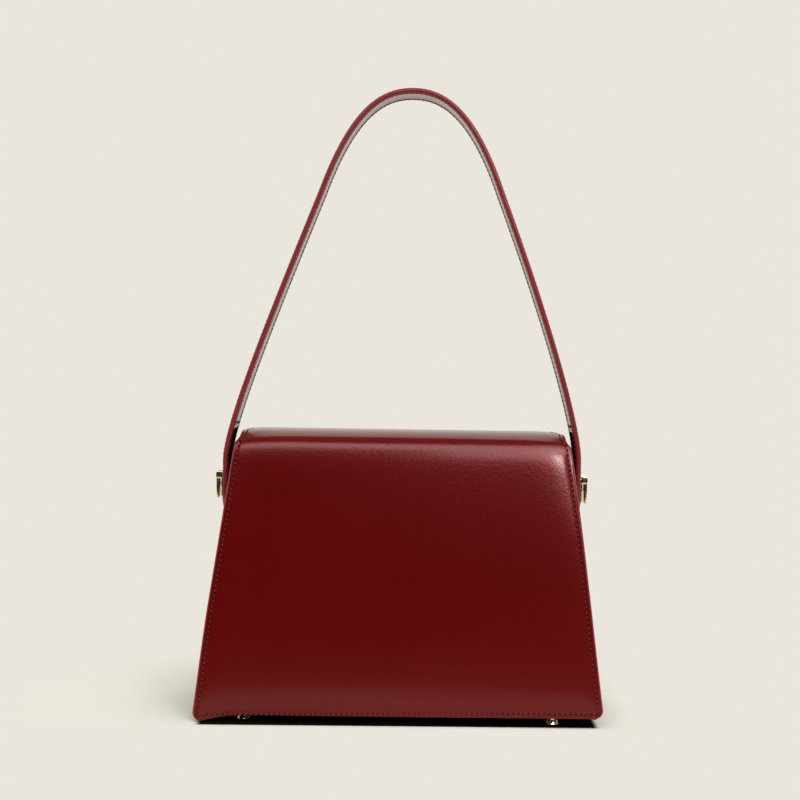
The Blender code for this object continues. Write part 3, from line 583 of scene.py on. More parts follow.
def flap_place(x, distance, depth=0.0):
    """A point of the flap's outer face, or one at a depth under it."""
    down = min(max(0.0, distance) / FLAP_DROP, 1.0)
    half = flap_half(distance)
    from_edge = max(0.0, min(half - abs(x), FLAP_DROP - distance))
    crown = FLAP_CROWN * (1 - (x / half) ** 2) * sin(pi * down**0.7)
    outward = crown - seam_pull(from_edge, rolled_over(distance)) - depth
    x += flap_sway(distance)
    distance += hem_droop(x, distance)
    y, z, _ = side_view_at(distance)
    return Vector((x, y, z)) + flap_outward(distance) * outward


middle = flap_place(0, FLAP_DROP / 2)
print("middle of the flap's face, mm:", [round(value / MM, 1) for value in middle])


# %% [markdown]
# ## The flap's skin and lining
# The front of the skin runs from the middle of the top to the hem, and the rear from there over the
# back edge to the tail that is sewn to the back. They meet flush on the flat top, because each can
# bend across one fold only. Rows are close together in the roll and at the round corners, and wide
# apart on the face. The lining is a thinner skin on the same form, set in from the edges.

# %% Rows and columns of the flap
ROW_STOPS = ((0, 4), (23 * MM, 10), (32 * MM, 18), (62 * MM, 16))      # down to each, so many rows
FACE_ROWS, CORNER_ROWS = 18, 8
COLUMN_STEPS_MM = (0, 1.2, 1.9, 2.5, 3.0, 3.6, 4.2, 5.2, 7, 9.5, 12.5, 16, 22, 30, 42)
MIDDLE_COLUMNS = 8


def rows_to_corner(start, stops, half_at, corner, steps):
    """Rows (distance, half width) from a start, so many to each stop, then round a corner of a radius."""
    rows = []
    for stop, count in stops:
        rows += [(distance, half_at(distance)) for distance in spread(start, stop, count)]
        start = stop
    half = half_at(start)
    for angle in spread(0, pi / 2, steps) + [pi / 2]:
        rows.append((start + corner * sin(angle), half - corner * (1 - cos(angle))))
    return rows


def flap_rows(start, margin):
    """Rows from a start on the top down to the hem, set in by a margin."""
    corner = HEM_CORNER - margin
    stops = [*ROW_STOPS, (FLAP_DROP - margin - corner, FACE_ROWS)]
    return rows_to_corner(start, stops, lambda distance: flap_half(distance) - margin, corner, CORNER_ROWS)


def columns_across(half):
    """X of each column from edge to edge: close together where the seam runs, wide in the middle."""
    left = [-half + step * MM for step in COLUMN_STEPS_MM]
    middle = spread(left[-1], -left[-1], MIDDLE_COLUMNS)
    return left[:-1] + middle + [-x for x in left[::-1]]


LAST_COLUMN = len(columns_across(1.0)) - 1
print("rows of the flap:", len(flap_rows(ROLL_Y - SKIN_JOIN_Y, 0)), "columns:", LAST_COLUMN + 1)


# %% Build the front of the flap
TOP_SKIN = 1.5 * MM             # leather alone, over the top and round the roll
FACE_SKIN = 2.8 * MM            # leather with its board, on the face
BOARD_TOP_Z, BOARD_TAPER = 184 * MM, 8 * MM     # the board starts a little below the roll
FLAP_LINING = 0.7 * MM
LINING_MARGIN = 1.4 * MM
LINING_START_Y = crest_high.y - 0.5 * MM
EDGE_ROLL, LINING_ROLL = 1.2 * MM, 0.3 * MM
FOLD_START, FOLD_END = (0, FOLD_Y + 0.5 * MM, CREST_Z), (0, FOLD_Y - 4.2 * MM, CREST_Z)


def skin_at(z):
    return TOP_SKIN + (FACE_SKIN - TOP_SKIN) * smooth_step((BOARD_TOP_Z - z) / BOARD_TAPER)


def flap_sheet(start, margin, depth_at, thickness_at):
    """A skin of the flap, at a depth and with a thickness that both depend on the height."""
    rows = flap_rows(start, margin)

    def form(across, along):
        distance, half = pick(rows, along)
        depth = depth_at(side_view_at(distance)[1])
        return flap_place(pick(columns_across(half), across), distance, depth)

    bm = lay_grid(LAST_COLUMN, len(rows) - 1, form, Vector((0, -1, 1)))
    least = thickness_at(CREST_Z)
    inwards = -flap_outward(FLAP_DROP)
    for vert in thicken(bm, least, 1):
        vert.co += inwards * (thickness_at(vert.co.z) - least)
    return bm


def away_from_join(edge):
    return any(vert.co.y < SKIN_JOIN_Y - 0.01 * MM for vert in edge.verts)


bm = flap_sheet(ROLL_Y - SKIN_JOIN_Y, 0, lambda z: 0.0, skin_at)
roll_edges(bm, EDGE_ROLL, 4, 1, away_from_join)
nodes = ["flap_front_leather", "flap_front_board", "flap_top_leather", "flap_top_board"]
flap_front = finish_piece(bm, "flap_skin_front", [box_calf, edge_paint_and_rim_highlight], None, "leather", nodes)
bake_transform(flap_front)
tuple(FOLD_START)
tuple(FOLD_END)

bm = flap_sheet(ROLL_Y - LINING_START_Y, LINING_MARGIN, skin_at, lambda z: FLAP_LINING)
roll_edges(bm, LINING_ROLL, 2, 0)
nodes = ["flap_front_lining", "flap_top_lining"]
flap_inside = finish_piece(bm, "flap_lining", [lining_calf, lining_calf], None, "lining_leather", nodes)
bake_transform(flap_inside)
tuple(FOLD_START)
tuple(FOLD_END)


# %% Build the rear of the flap and its tail
REAR_FOLD_Y = 17.2 * MM
REAR_RADIUS = 6.0 * MM
REAR_TURN = radians(82.8)       # the tail lies along the back, which leans a little
TAIL_END_Z = 160.5 * MM
TAIL_SKIN = 1.2 * MM
TAIL_CORNER, TAIL_ROLL = 5.0 * MM, 0.45 * MM
REAR_ROLL_LENGTH = REAR_RADIUS * REAR_TURN
REAR_ROLL_Z = CREST_Z - REAR_RADIUS * (1 - cos(REAR_TURN))
TAIL_LENGTH = REAR_ROLL_LENGTH + (REAR_ROLL_Z - TAIL_END_Z) / sin(REAR_TURN)


def tail_place(x, distance, depth=0.0):
    """A point of the rear of the flap, by its distance from the start of the rear roll."""
    turn = min(max(distance / REAR_RADIUS, 0.0), REAR_TURN)
    straight = max(distance - REAR_ROLL_LENGTH, 0.0)
    from_edge = max(0.0, min(CREST_HALF - abs(x), TAIL_LENGTH - distance))
    pull = seam_pull(from_edge, 0.0)
    y = REAR_FOLD_Y + REAR_RADIUS * sin(turn) + straight * cos(REAR_TURN) + min(distance, 0.0)
    z = CREST_Z - REAR_RADIUS * (1 - cos(turn)) - straight * sin(REAR_TURN)
    return Vector((x, y, z)) - Vector((0, sin(turn), cos(turn))) * (depth + pull)


def tail_rows(margin):
    stops = [(0, 4), (REAR_ROLL_LENGTH, 14), (TAIL_LENGTH - TAIL_CORNER, 6)]
    half = CREST_HALF - margin
    return rows_to_corner(SKIN_JOIN_Y - REAR_FOLD_Y, stops, lambda distance: half, TAIL_CORNER - margin, 6)


TAIL_ROWS = tail_rows(0)


def tail_form(across, along):
    distance, half = pick(TAIL_ROWS, along)
    return tail_place(pick(columns_across(half), across), distance)


def behind_join(edge):
    return any(vert.co.y > SKIN_JOIN_Y + 0.01 * MM for vert in edge.verts)


bm = lay_sheet(LAST_COLUMN, len(TAIL_ROWS) - 1, tail_form, Vector((0, 1, 1)), TAIL_SKIN, 1)
roll_edges(bm, TAIL_ROLL, 3, 1, behind_join)
flap_rear = finish_piece(bm, "flap_skin_rear", [box_calf, edge_paint_and_rim_highlight], None, "leather", ["flap_tail"])
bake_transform(flap_rear)
print("tail, mm:", round(TAIL_LENGTH / MM, 1))


# %% [markdown]
# ## The body's walls
# Each wall is leather wrapped over a stiff board, so it is nearly flat, but the leather pillows: it
# sits full in the middle and dips where the seam pulls it down at its edges. All four walls share one
# lofted form, an A-shape that narrows towards the mouth, and each is laid on that form as its own
# panel, so that the painted cut edges of front and back show from the side as on the real bag.

# %% The body's form
WALL = 3.0 * MM                 # leather, glue and board
base_low, base_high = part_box("front_panel")
BASE_Z = base_low.z + 1.6 * MM  # hidden behind the flap's hem, as seen from the front
BASE = 1.7 * MM                 # the base is thinner than the walls
RIM_Z = base_high.z - 2.9 * MM  # the walls' turned rims stop short of the flap's soft roll
FRONT_BASE_Y, FRONT_RIM_Y = -41.2 * MM, -19.3 * MM
BACK_BASE_Y, BACK_RIM_Y = 45.0 * MM, 22.0 * MM
FLAP_OVERHANG = 2.0 * MM
BASE_TUCK, TUCK_HEIGHT = 2.2 * MM, 30 * MM  # the ends draw in this much towards the base
SEAM_DIP = 0.45 * MM
DIP_ACROSS, DIP_ALONG = 14, 24  # powers: the higher, the closer the dip keeps to its seam


def height_share(z):
    return (z - BASE_Z) / (RIM_Z - BASE_Z)


def front_y(z):
    return FRONT_BASE_Y + (FRONT_RIM_Y - FRONT_BASE_Y) * height_share(z)


def back_y(z):
    return BACK_BASE_Y + (BACK_RIM_Y - BACK_BASE_Y) * height_share(z)


def body_half(z):
    straight = FLAP_HALF_TOP + (FLAP_HALF_BOTTOM - FLAP_HALF_TOP) * (CREST_Z - z) / (CREST_Z - HEM_Z)
    return straight - FLAP_OVERHANG - BASE_TUCK * max(0.0, 1 - (z - BASE_Z) / TUCK_HEIGHT) ** 2


def dip(across, along):
    """How far pillowed leather lies under its form: nothing in the middle, full at its seams."""
    return SEAM_DIP * max(abs(2 * across - 1) ** DIP_ACROSS, abs(2 * along - 1) ** DIP_ALONG)


widths = [round(2 * body_half(z) / MM, 1) for z in (BASE_Z, RIM_Z)]
print("body's width at its base and rim, mm:", widths)


# %% Build the front and back walls
WALL_GRID = 26
WALL_ROLL, TURNED_ROLL = 0.8 * MM, 0.5 * MM     # the cut edges of front and back are rounder
FRONT_LIFT = 1.7 * MM           # the front wall stops this much above the base


def wall_panel(name, form, outward, nodes, roll=WALL_ROLL, thickness=WALL):
    bm = lay_sheet(WALL_GRID, WALL_GRID, form, Vector(outward), thickness, 1)
    roll_edges(bm, roll, 3, 1)
    finish_piece(bm, name, [box_calf, edge_paint_and_rim_highlight], "body", "leather", nodes)


def front_form(across, along):
    lower = BASE_Z + FRONT_LIFT
    z = lower + (RIM_Z - lower) * along
    return Vector(((2 * across - 1) * body_half(z), front_y(z) + dip(across, along), z))


def back_form(across, along):
    z = BASE_Z + (RIM_Z - BASE_Z) * along
    return Vector(((2 * across - 1) * body_half(z), back_y(z) - dip(across, along), z))


wall_panel("front_wall", front_form, (0, -1, 0), ["front_panel", "front_board"])
wall_panel("back_wall", back_form, (0, 1, 0), ["back_panel", "back_board"])


# %% Build the gussets and the base
def gusset_form(side):
    def form(across, along):
        z = BASE_Z + (RIM_Z - BASE_Z) * along
        y = front_y(z) + WALL + (back_y(z) - front_y(z) - 2 * WALL) * across
        return Vector((side * (body_half(z) - dip(across, along)), y, z))

    return form


def base_form(across, along):
    x = (2 * across - 1) * (body_half(BASE_Z) - WALL)
    y = front_y(BASE_Z) + WALL + (back_y(BASE_Z) - front_y(BASE_Z) - 2 * WALL) * along
    return Vector((x, y, BASE_Z + dip(across, along)))


for side, word in SIDES:
    nodes = ["gusset_" + word, "gusset_board_" + word]
    wall_panel("gusset_wall_" + word, gusset_form(side), (side, 0, 0), nodes, TURNED_ROLL)
wall_panel("base_wall", base_form, (0, 0, -1), ["base_panel", "base_board"], TURNED_ROLL, BASE)


# %% [markdown]
# ## The strap
# The strap is two long strips of calf glued back to back over a thin tape, sewn along both edges and
# edge-painted all round. It could be a curve with a bevel profile, but a grid laid on the arch keeps
# the strap's width, round tab ends and cut sides exact. The arch is two Bezier stretches a side, as in
# the CAD, with the lean to one side that a soft strap takes when it stands.

# %% The strap's arch
STRAP_WIDTH = 26.0 * MM
STRAP_THICK = 3.3 * MM
PIVOT_Z = 154.0 * MM
TAB_END_Z = 136.0 * MM
TAB_TOP_Z = 172.0 * MM
TAB_FACE_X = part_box("strap_outer")[1].x
SHOULDER_X, SHOULDER_Z, SHOULDER_LEAN = 61.3 * MM, 355.5 * MM, 0.349
APEX_Z = 422.0 * MM
ARCH_LEAN = 4.2 * MM
LEANT_AT = 0.82                 # share of the height where the arch has leant all the way
LEG_HANDLE, BELOW_HANDLE, ABOVE_HANDLE, APEX_HANDLE = 34 * MM, 10 * MM, 60 * MM, 19.5 * MM


def half_arch():
    """The right half of the strap's outer face as (x, z), from the tab's end to the apex."""
    lean = Vector((-sin(SHOULDER_LEAN), cos(SHOULDER_LEAN), 0))
    foot, shoulder = Vector((TAB_FACE_X, TAB_TOP_Z, 0)), Vector((SHOULDER_X, SHOULDER_Z, 0))
    apex = Vector((0, APEX_Z, 0))
    above_foot, before_apex = foot + Vector((0, LEG_HANDLE, 0)), apex + Vector((APEX_HANDLE, 0, 0))
    leg = interpolate_bezier(foot, above_foot, shoulder - lean * BELOW_HANDLE, shoulder, 40)
    top = interpolate_bezier(shoulder, shoulder + lean * ABOVE_HANDLE, before_apex, apex, 60)
    tab = [Vector((TAB_FACE_X, z, 0)) for z in spread(TAB_END_Z, TAB_TOP_Z, 12)]
    return tab + leg + top[1:]


def whole_arch():
    right = half_arch()
    left = [Vector((-p.x, p.y, 0)) for p in right]
    points = []
    for p in left + right[-2::-1]:
        rise = max(0.0, (p.y - TAB_TOP_Z) / (APEX_Z - TAB_TOP_Z))
        points.append(Vector((p.x + ARCH_LEAN * sin(pi / 2 * min(rise / LEANT_AT, 1.0)), 0, p.y)))
    return points


ARCH = whole_arch()
print("points of the arch:", len(ARCH))


# %% Measure along the arch
ARCH_AT = [0.0]                 # the distance of each of its points from the left end
for before, after in zip(ARCH, ARCH[1:]):
    ARCH_AT.append(ARCH_AT[-1] + (after - before).length)
STRAP_LENGTH = ARCH_AT[-1]


def arch_at(distance):
    """Place and outward direction on the strap's outer face, by the distance from its left end."""
    distance = min(max(distance, 0.0), STRAP_LENGTH)
    i = min(sum(1 for d in ARCH_AT[1:] if d < distance), len(ARCH) - 2)
    share = (distance - ARCH_AT[i]) / (ARCH_AT[i + 1] - ARCH_AT[i])
    before, after = ARCH[max(i - 1, 0)], ARCH[min(i + 2, len(ARCH) - 1)]
    along = (after - before).normalized()
    return ARCH[i].lerp(ARCH[i + 1], share), Vector((-along.z, 0, along.x))


print("strap, mm:", round(STRAP_LENGTH / MM))


# %% The strap's width and faces
STRAP_CROWN = 0.35 * MM
LEAST_HALF = 0.4 * MM           # the tab's round end closes at this half width


def strap_half(distance, margin=0.0):
    """Half the strap's width, with a round end at each tab."""
    radius = STRAP_WIDTH / 2 - margin
    from_end = min(distance, STRAP_LENGTH - distance) - margin
    if from_end >= radius:
        return radius
    return sqrt(max(radius**2 - (radius - max(from_end, 0.0)) ** 2, LEAST_HALF**2))


def strap_place(distance, y, depth=0.0):
    place, outward = arch_at(distance)
    crown = STRAP_CROWN * (1 - (2 * y / STRAP_WIDTH) ** 2)
    sink = depth + crown * (1 if depth > STRAP_THICK / 2 else -1)
    return place - outward * sink + Vector((0, y, 0))


print("strap's width at its legs, mm:", 2 * strap_half(STRAP_LENGTH / 2) / MM)


# %% Build the strap's two strips
STRAP_ROLL = 1.15 * MM
TAB_BACK_Z = 191 * MM           # beside the bag, the strap's inner face takes the painted shade of the gap
STRAP_COLUMNS, LEG_ROWS, TAB_ROWS = 8, 170, 9


def strap_rows():
    radius = STRAP_WIDTH / 2
    end = [radius * (1 - cos(angle)) for angle in spread(0, pi / 2, TAB_ROWS)]
    middle = spread(radius, STRAP_LENGTH - radius, LEG_ROWS)
    return end + middle + [STRAP_LENGTH - d for d in [radius, *end[::-1]]]


STRAP_ROWS = strap_rows()


def strap_form(across, along):
    distance = pick(STRAP_ROWS, along)
    return strap_place(distance, (2 * across - 1) * strap_half(distance))


up = Vector((0, 0, 1))
bm = lay_sheet(STRAP_COLUMNS, len(STRAP_ROWS) - 1, strap_form, up, STRAP_THICK, 1, 2)
roll_edges(bm, STRAP_ROLL, 4, 1)
# Below TAB_BACK_Z the inner face takes the painted shade of the gap beside the bag
for face in bm.faces:
    if face.material_index == 2 and face.calc_center_median().z < TAB_BACK_Z:
        face.material_index = 3
leathers = [box_calf, edge_paint_and_rim_highlight, strap_inner_painted_reflection, tab_gap_painted_shade]
finish_piece(bm, "strap_leather", leathers, "strap", "leather", ["strap_outer", "strap_core", "strap_lining"])


# %% [markdown]
# ## Seams
# The edges are saddle-stitched by hand or machine, 3.4 mm to a stitch: each stitch lies at a slant
# between two awl holes and stands a little proud. A particle system or an array on a curve could lay
# them, but here they are real small meshes. Each thread is a sphere stretched along the seam and each
# hole is a flat dark one under it, whose colour is painted shade, with few faces, because there are
# well over a thousand of them.

# %% Where the stitches lie
STITCH = 3.4 * MM


def stitches_on(line):
    """Spots (place, along, outward) a stitch apart on a line of (place, outward) points."""
    gaps = [(end[0] - start[0]).length for start, end in zip(line, line[1:])]
    pitch = sum(gaps) / max(1, round(sum(gaps) / STITCH))
    spots, target, walked = [], pitch / 2, 0.0
    for (start, outward), (end, _), gap in zip(line, line[1:], gaps):
        while gap > 0 and target <= walked + gap:
            spots.append((start.lerp(end, (target - walked) / gap), (end - start).normalized(), outward))
            target += pitch
        walked += gap
    return spots


# %% A thread and its hole
THREAD_SIZE = (0.7 * MM, 0.56 * MM, 1.7 * MM)       # across, proud, along
HOLE_SIZE = (1.9 * MM, 0.32 * MM, 2.2 * MM)
STITCH_SLANT = radians(13)
THREAD_LIFT, HOLE_SINK = 0.02 * MM, 0.02 * MM


def bead(slot):
    """A small sphere of unit size, as the mesh that every thread or hole is copied from."""
    bm = bmesh.new()
    bmesh.ops.create_uvsphere(bm, u_segments=6, v_segments=4, radius=0.5)
    for face in bm.faces:
        face.material_index = slot
    mesh = bpy.data.meshes.new("bead")
    bm.to_mesh(mesh)
    bm.free()
    return mesh


def stretched(place, axes, sizes):
    """The matrix that stretches a shape of unit size along three axes and sets it at a place."""
    matrix = Matrix([axis * size for axis, size in zip(axes, sizes)]).transposed().to_4x4()
    matrix.translation = place
    return matrix


def set_bead(bm, mesh, spot, size, slant, slide, lift):
    """One stretched sphere at a spot, turned by a slant in the leather's surface."""
    place, along, outward = spot
    across = outward.cross(along).normalized()
    run = along * cos(slant) + across * sin(slant)
    across = outward.cross(run).normalized()
    outward = run.cross(across)
    turn = stretched(place + run * slide + outward * lift, (across, outward, run), size)
    mesh.transform(turn)
    bm.from_mesh(mesh)
    mesh.transform(turn.inverted())


# %% Helper for seams
def sew(name, lines, body=None):
    """A seam of threads and awl holes along one or more lines."""
    bm = bmesh.new()
    thread, hole = bead(0), bead(1)
    for line in lines:
        for spot in stitches_on(line):
            set_bead(bm, thread, spot, THREAD_SIZE, STITCH_SLANT, 0.0, THREAD_LIFT)
            set_bead(bm, hole, spot, HOLE_SIZE, 0.0, STITCH / 2, -HOLE_SINK)
    for mesh in (thread, hole):
        bpy.data.meshes.remove(mesh)
    return finish_piece(bm, name, [waxed_thread, awl_hole_painted_shade], body, "leather")


# %% Sew the flap
def both_sides(rows, at):
    """A line down the left edge, across the end and up the right edge, from rows (distance, half)."""
    left = [at(-half, distance) for distance, half in rows]
    return left + [at(half, distance) for distance, half in rows[::-1]]


def on_flap(x, distance):
    return flap_place(x, distance), flap_outward(distance)


def on_tail(x, distance):
    place = tail_place(x, distance)
    return place, (place - tail_place(x, distance, 1 * MM)).normalized()


first_stitch = ROLL_Y - SKIN_JOIN_Y + 1 * MM
seam = sew("flap_seam", [both_sides(flap_rows(first_stitch, SEAM_MARGIN), on_flap)])
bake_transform(seam)
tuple(FOLD_START)
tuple(FOLD_END)
seam = sew("tail_seam", [both_sides(tail_rows(SEAM_MARGIN), on_tail)])
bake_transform(seam)


# %% Sew the body's walls
WALL_MARGIN = 3.2 * MM
MOUTH_MARGIN, MOUTH_ENDS = 2.4 * MM, 6 * MM
ON_WALL = 0.05 * MM             # the seams lie this much proud of the walls


def wall_line(face_y, side, lift=0.0):
    """Down one edge of the front or back wall, along its base and up the other edge."""
    slope = (face_y(RIM_Z) - face_y(BASE_Z)) / (RIM_Z - BASE_Z)
    outward = Vector((0, side, -side * slope)).normalized()
    lower = BASE_Z + lift + WALL_MARGIN
    rows = [(z, body_half(z) - WALL_MARGIN) for z in spread(RIM_Z - WALL_MARGIN, lower, 24) + [lower]]
    return both_sides(rows, lambda x, z: (Vector((x, face_y(z) + side * ON_WALL, z)), outward))


def mouth_line(face_y, side):
    """Along the rim of the front or back wall."""
    z = RIM_Z - MOUTH_MARGIN
    reach = body_half(z) - MOUTH_ENDS
    return [(Vector((x, face_y(z) + side * ON_WALL, z)), Vector((0, side, 0))) for x in (-reach, reach)]


def gusset_mouth_line(side):
    z = RIM_Z - MOUTH_MARGIN
    ends = front_y(z) + MOUTH_ENDS, back_y(z) - MOUTH_ENDS
    return [(Vector((side * (body_half(z) + ON_WALL), y, z)), Vector((side, 0, 0))) for y in ends]


sew("front_wall_seam", [wall_line(front_y, -1, FRONT_LIFT), mouth_line(front_y, -1)], "body")
sew("back_wall_seam", [wall_line(back_y, 1)], "body")
sew("gusset_mouth_seams", [gusset_mouth_line(-1), gusset_mouth_line(1)], "body")


# %% Sew the strap
STRAP_MARGIN = 2.6 * MM
TACK_Z = 197 * MM               # a short row across the inner face closes each end of the lining
TACK_MARGIN = 4.2 * MM


def strap_line(depth, side):
    """Round the whole strap on its outer or inner face, close to the edge."""

    def at(distance, y_side):
        y = y_side * strap_half(distance, STRAP_MARGIN)
        return strap_place(distance, y, depth), arch_at(distance)[1] * side

    inside = [min(max(d, STRAP_MARGIN), STRAP_LENGTH - STRAP_MARGIN) for d in STRAP_ROWS]
    line = [at(d, 1) for d in inside] + [at(d, -1) for d in inside[::-1]]
    return line + line[:1]


def tack_line(end):
    distances = [d for d in STRAP_ROWS if (d < STRAP_LENGTH / 2) == (end < 0)]
    distance = min(distances, key=lambda d: abs(arch_at(d)[0].z - TACK_Z))
    reach = STRAP_WIDTH / 2 - TACK_MARGIN
    return [(strap_place(distance, y, STRAP_THICK), -arch_at(distance)[1]) for y in (-reach, reach)]


sew("strap_outer_seam", [strap_line(0.0, 1)], "strap")
sew("strap_inner_seam", [strap_line(STRAP_THICK, -1), tack_line(-1), tack_line(1)], "strap")


# %% [markdown]
# ## The cloth lining
# The lining is a bag of twill that is dropped into the boards and sewn in round the mouth. It hugs the
# walls near the rim and hangs a little loose below. A box is subdivided and each point is laid on the
# body's form and pulled into round corners, so the lining is one loft and not five plates, and slow
# waves then push the loose lower part inwards.

# %% The lining's loose walls
LINING_INSET = 3.3 * MM
LINING_BACK_INSET = 4.2 * MM    # room behind it for the zip pocket
LINING_Z = 7.6 * MM
LINING = 0.7 * MM
HUGS_ABOVE, LOOSENS, SETTLES = 138 * MM, 60 * MM, 15 * MM
SLACK = 0.9 * MM
BROAD_X, BROAD_Z = 13 * MM, 21 * MM     # lengths of the cloth's broad waves
FINE_X, FINE_Z = 5.7 * MM, 31 * MM      # and of its fine ones


def slack(x, z):
    """How far the hanging cloth stands off its wall: nothing near the rim and at the bottom."""
    loose = min(1.0, max(0.0, (HUGS_ABOVE - z) / LOOSENS)) * min(1.0, max(0.0, (z - LINING_Z) / SETTLES))
    broad, fine = sin(x / BROAD_X + 1.3 * sin(z / BROAD_Z)), sin(x / FINE_X + z / FINE_Z)
    return SLACK * loose * (0.5 + 0.3 * broad + 0.2 * fine)


def lining_front(x, z):
    return front_y(z) + LINING_INSET + slack(x, z)


def lining_back(x, z):
    return back_y(z) - LINING_BACK_INSET - slack(x + 40 * MM, z)


print("slack of the lining half way up, mm:", round(slack(0, RIM_Z / 2) / MM, 2))


# %% Build the lining
LINING_CORNER = 6.0 * MM
LINING_GRID = (43, 13, 29)      # cuts along x, y and z


def lies_along(edge, axis):
    run = edge.verts[0].co - edge.verts[1].co
    return abs(run[axis]) > 0.01 and all(abs(run[other]) < 0.001 for other in range(3) if other != axis)


def in_lining(corner):
    """Where a point of the unit box comes to lie: on the body's form, pulled into round corners."""
    share = Vector([sin(pi * value) / 2 + 0.5 for value in corner])
    z = LINING_Z + (RIM_Z - LINING_Z) * share.z
    half = body_half(z) - LINING_INSET
    x = (2 * share.x - 1) * half
    near, far = lining_front(x, z), lining_back(x, z)
    place = Vector((x, near + (far - near) * share.y, z))
    inner_x = min(max(x, -half + LINING_CORNER), half - LINING_CORNER)
    inner_y = min(max(place.y, near + LINING_CORNER), far - LINING_CORNER)
    inner = Vector((inner_x, inner_y, max(z, LINING_Z + LINING_CORNER)))
    out = place - inner
    return inner + out.normalized() * LINING_CORNER if out.length > LINING_CORNER else place


bm = bmesh.new()
bmesh.ops.create_cube(bm, size=1.0)
for axis, cuts in enumerate(LINING_GRID):
    runs = [edge for edge in bm.edges if lies_along(edge, axis)]
    bmesh.ops.subdivide_edges(bm, edges=runs, cuts=cuts, use_grid_fill=True)
bmesh.ops.delete(bm, geom=[f for f in bm.faces if f.calc_center_median().z > 0.4999], context="FACES")
for vert in bm.verts:
    vert.co = in_lining(vert.co)
bmesh.ops.recalc_face_normals(bm, faces=bm.faces[:])
bm.normal_update()
thicken(bm, LINING)
finish_piece(bm, "twill_lining", [twill], "body", "lining_cloth", ["lining"], radians(70))


# %% [markdown]
# ## Pockets
# A slip pocket is sewn to the front of the lining: its mouth is hemmed and gapes a little. A zipped
# pocket hangs behind the back of the lining. Both are cloth, so both are laid as grids: the slip pocket
# follows the lining's own waves, and the zipped one bulges a little.

# %% Build the slip pocket
INTO_BACK = Vector((0, 1, 0))
SLIP_HALF, SLIP_LOW_Z, SLIP_TOP_Z = 65 * MM, 46.5 * MM, 136.5 * MM
POCKET_CLOTH = 0.6 * MM
SLIP_GAP = 0.2 * MM             # between the pocket and the lining that it is sewn to
GAPE = 1.1 * MM


def slip_form(across, along):
    x = (2 * across - 1) * SLIP_HALF
    z = SLIP_LOW_Z + (SLIP_TOP_Z - SLIP_LOW_Z) * along
    gape = GAPE * cos(x / SLIP_HALF * pi / 2) * along**3
    return Vector((x, lining_front(x, z) + LINING + SLIP_GAP + POCKET_CLOTH + gape, z))


bm = lay_sheet(36, 26, slip_form, INTO_BACK, POCKET_CLOTH)
roll_edges(bm, 0.2 * MM, 2, 0)
finish_piece(bm, "slip_pocket_cloth", [twill], "body", "lining_cloth", ["slip_pocket"])
print("slip pocket, mm:", round(2 * SLIP_HALF / MM), "x", round((SLIP_TOP_Z - SLIP_LOW_Z) / MM))


# %% Build the zip pocket
ZIP_Z = 148.5 * MM
ZIP_HALF = 75 * MM
TAPE_HALF = 7.5 * MM
ZIP_CLOTH = 0.5 * MM
POCKET_LOW_Z = 53.5 * MM
BULGE = 0.15 * MM


def zip_pocket_form(across, along):
    z = POCKET_LOW_Z + (ZIP_Z + TAPE_HALF - POCKET_LOW_Z) * along
    bulge = BULGE * sin(pi * across) * sin(pi * along)
    return Vector(((2 * across - 1) * ZIP_HALF, back_y(z) - LINING_INSET - bulge, z))


bm = lay_sheet(30, 20, zip_pocket_form, INTO_BACK, ZIP_CLOTH)
finish_piece(bm, "zip_pocket_cloth", [twill], "body", "lining_cloth", ["zip_pocket_bag"])


# %% Sew the slip pocket
SLIP_MARGIN = 2.2 * MM
HEM_FOLD, HEM_ENDS = 8 * MM, 1 * MM


def on_slip(x, z):
    form = slip_form((x / SLIP_HALF + 1) / 2, (z - SLIP_LOW_Z) / (SLIP_TOP_Z - SLIP_LOW_Z))
    return form, INTO_BACK


def slip_seam_line():
    """Down one side of the slip pocket, along its bottom and up the other side."""
    reach, low = SLIP_HALF - SLIP_MARGIN, SLIP_LOW_Z + SLIP_MARGIN
    heights = spread(SLIP_TOP_Z - HEM_ENDS, low, 16) + [low]
    left = [on_slip(-reach, z) for z in heights]
    bottom = [on_slip(x, low) for x in spread(-reach, reach, 30)]
    return left + bottom + [on_slip(reach, z) for z in heights[::-1]]


hem_reach = SLIP_HALF - HEM_ENDS
hem_line = [on_slip(x, SLIP_TOP_Z - HEM_FOLD) for x in spread(-hem_reach, hem_reach, 30)]
sew("slip_pocket_seam", [slip_seam_line(), hem_line], "body")


# %% [markdown]
# ## The zip
# A metal zip has small cast teeth clamped to two woven tapes. The teeth of the two sides mesh like the
# fingers of two hands, so the rows are laid half a pitch apart. The slider is a saddle with a flared
# nose and a bail that its pull swings on.

# %% Build the zip's tape and teeth
TAPE_STAND, TOOTH_STAND = 0.8 * MM, 1.7 * MM    # from the back of the lining
CHAIN_HALF = 69 * MM
TOOTH_PITCH = 1.6 * MM
TOOTH_SIZE = (0.85 * MM, 1.1 * MM, 2.5 * MM)
TOOTH_OFF, TOOTH_EDGE = 0.9 * MM, 0.18 * MM     # each row's distance from the zip's middle, and its bevel
BACK_LEAN = (BACK_BASE_Y - BACK_RIM_Y) / (RIM_Z - BASE_Z)
INTO_BAG = Vector((0, -1, -BACK_LEAN)).normalized()
UP_BACK = Vector((0, -BACK_LEAN, 1)).normalized()


def on_back(x, up, stand):
    """A point on the back of the lining, by its height up the wall from the zip and its stand."""
    base = Vector((x, back_y(ZIP_Z) - LINING_BACK_INSET - LINING, ZIP_Z))
    return base + UP_BACK * up + INTO_BAG * stand


def tape_form(across, along):
    return on_back((2 * across - 1) * ZIP_HALF, (2 * along - 1) * TAPE_HALF, TAPE_STAND)


bm = lay_sheet(40, 6, tape_form, INTO_BAG, ZIP_CLOTH)
finish_piece(bm, "zip_woven_tape", [zip_cloth], "body", "zip_cloth", ["zip_tape"])

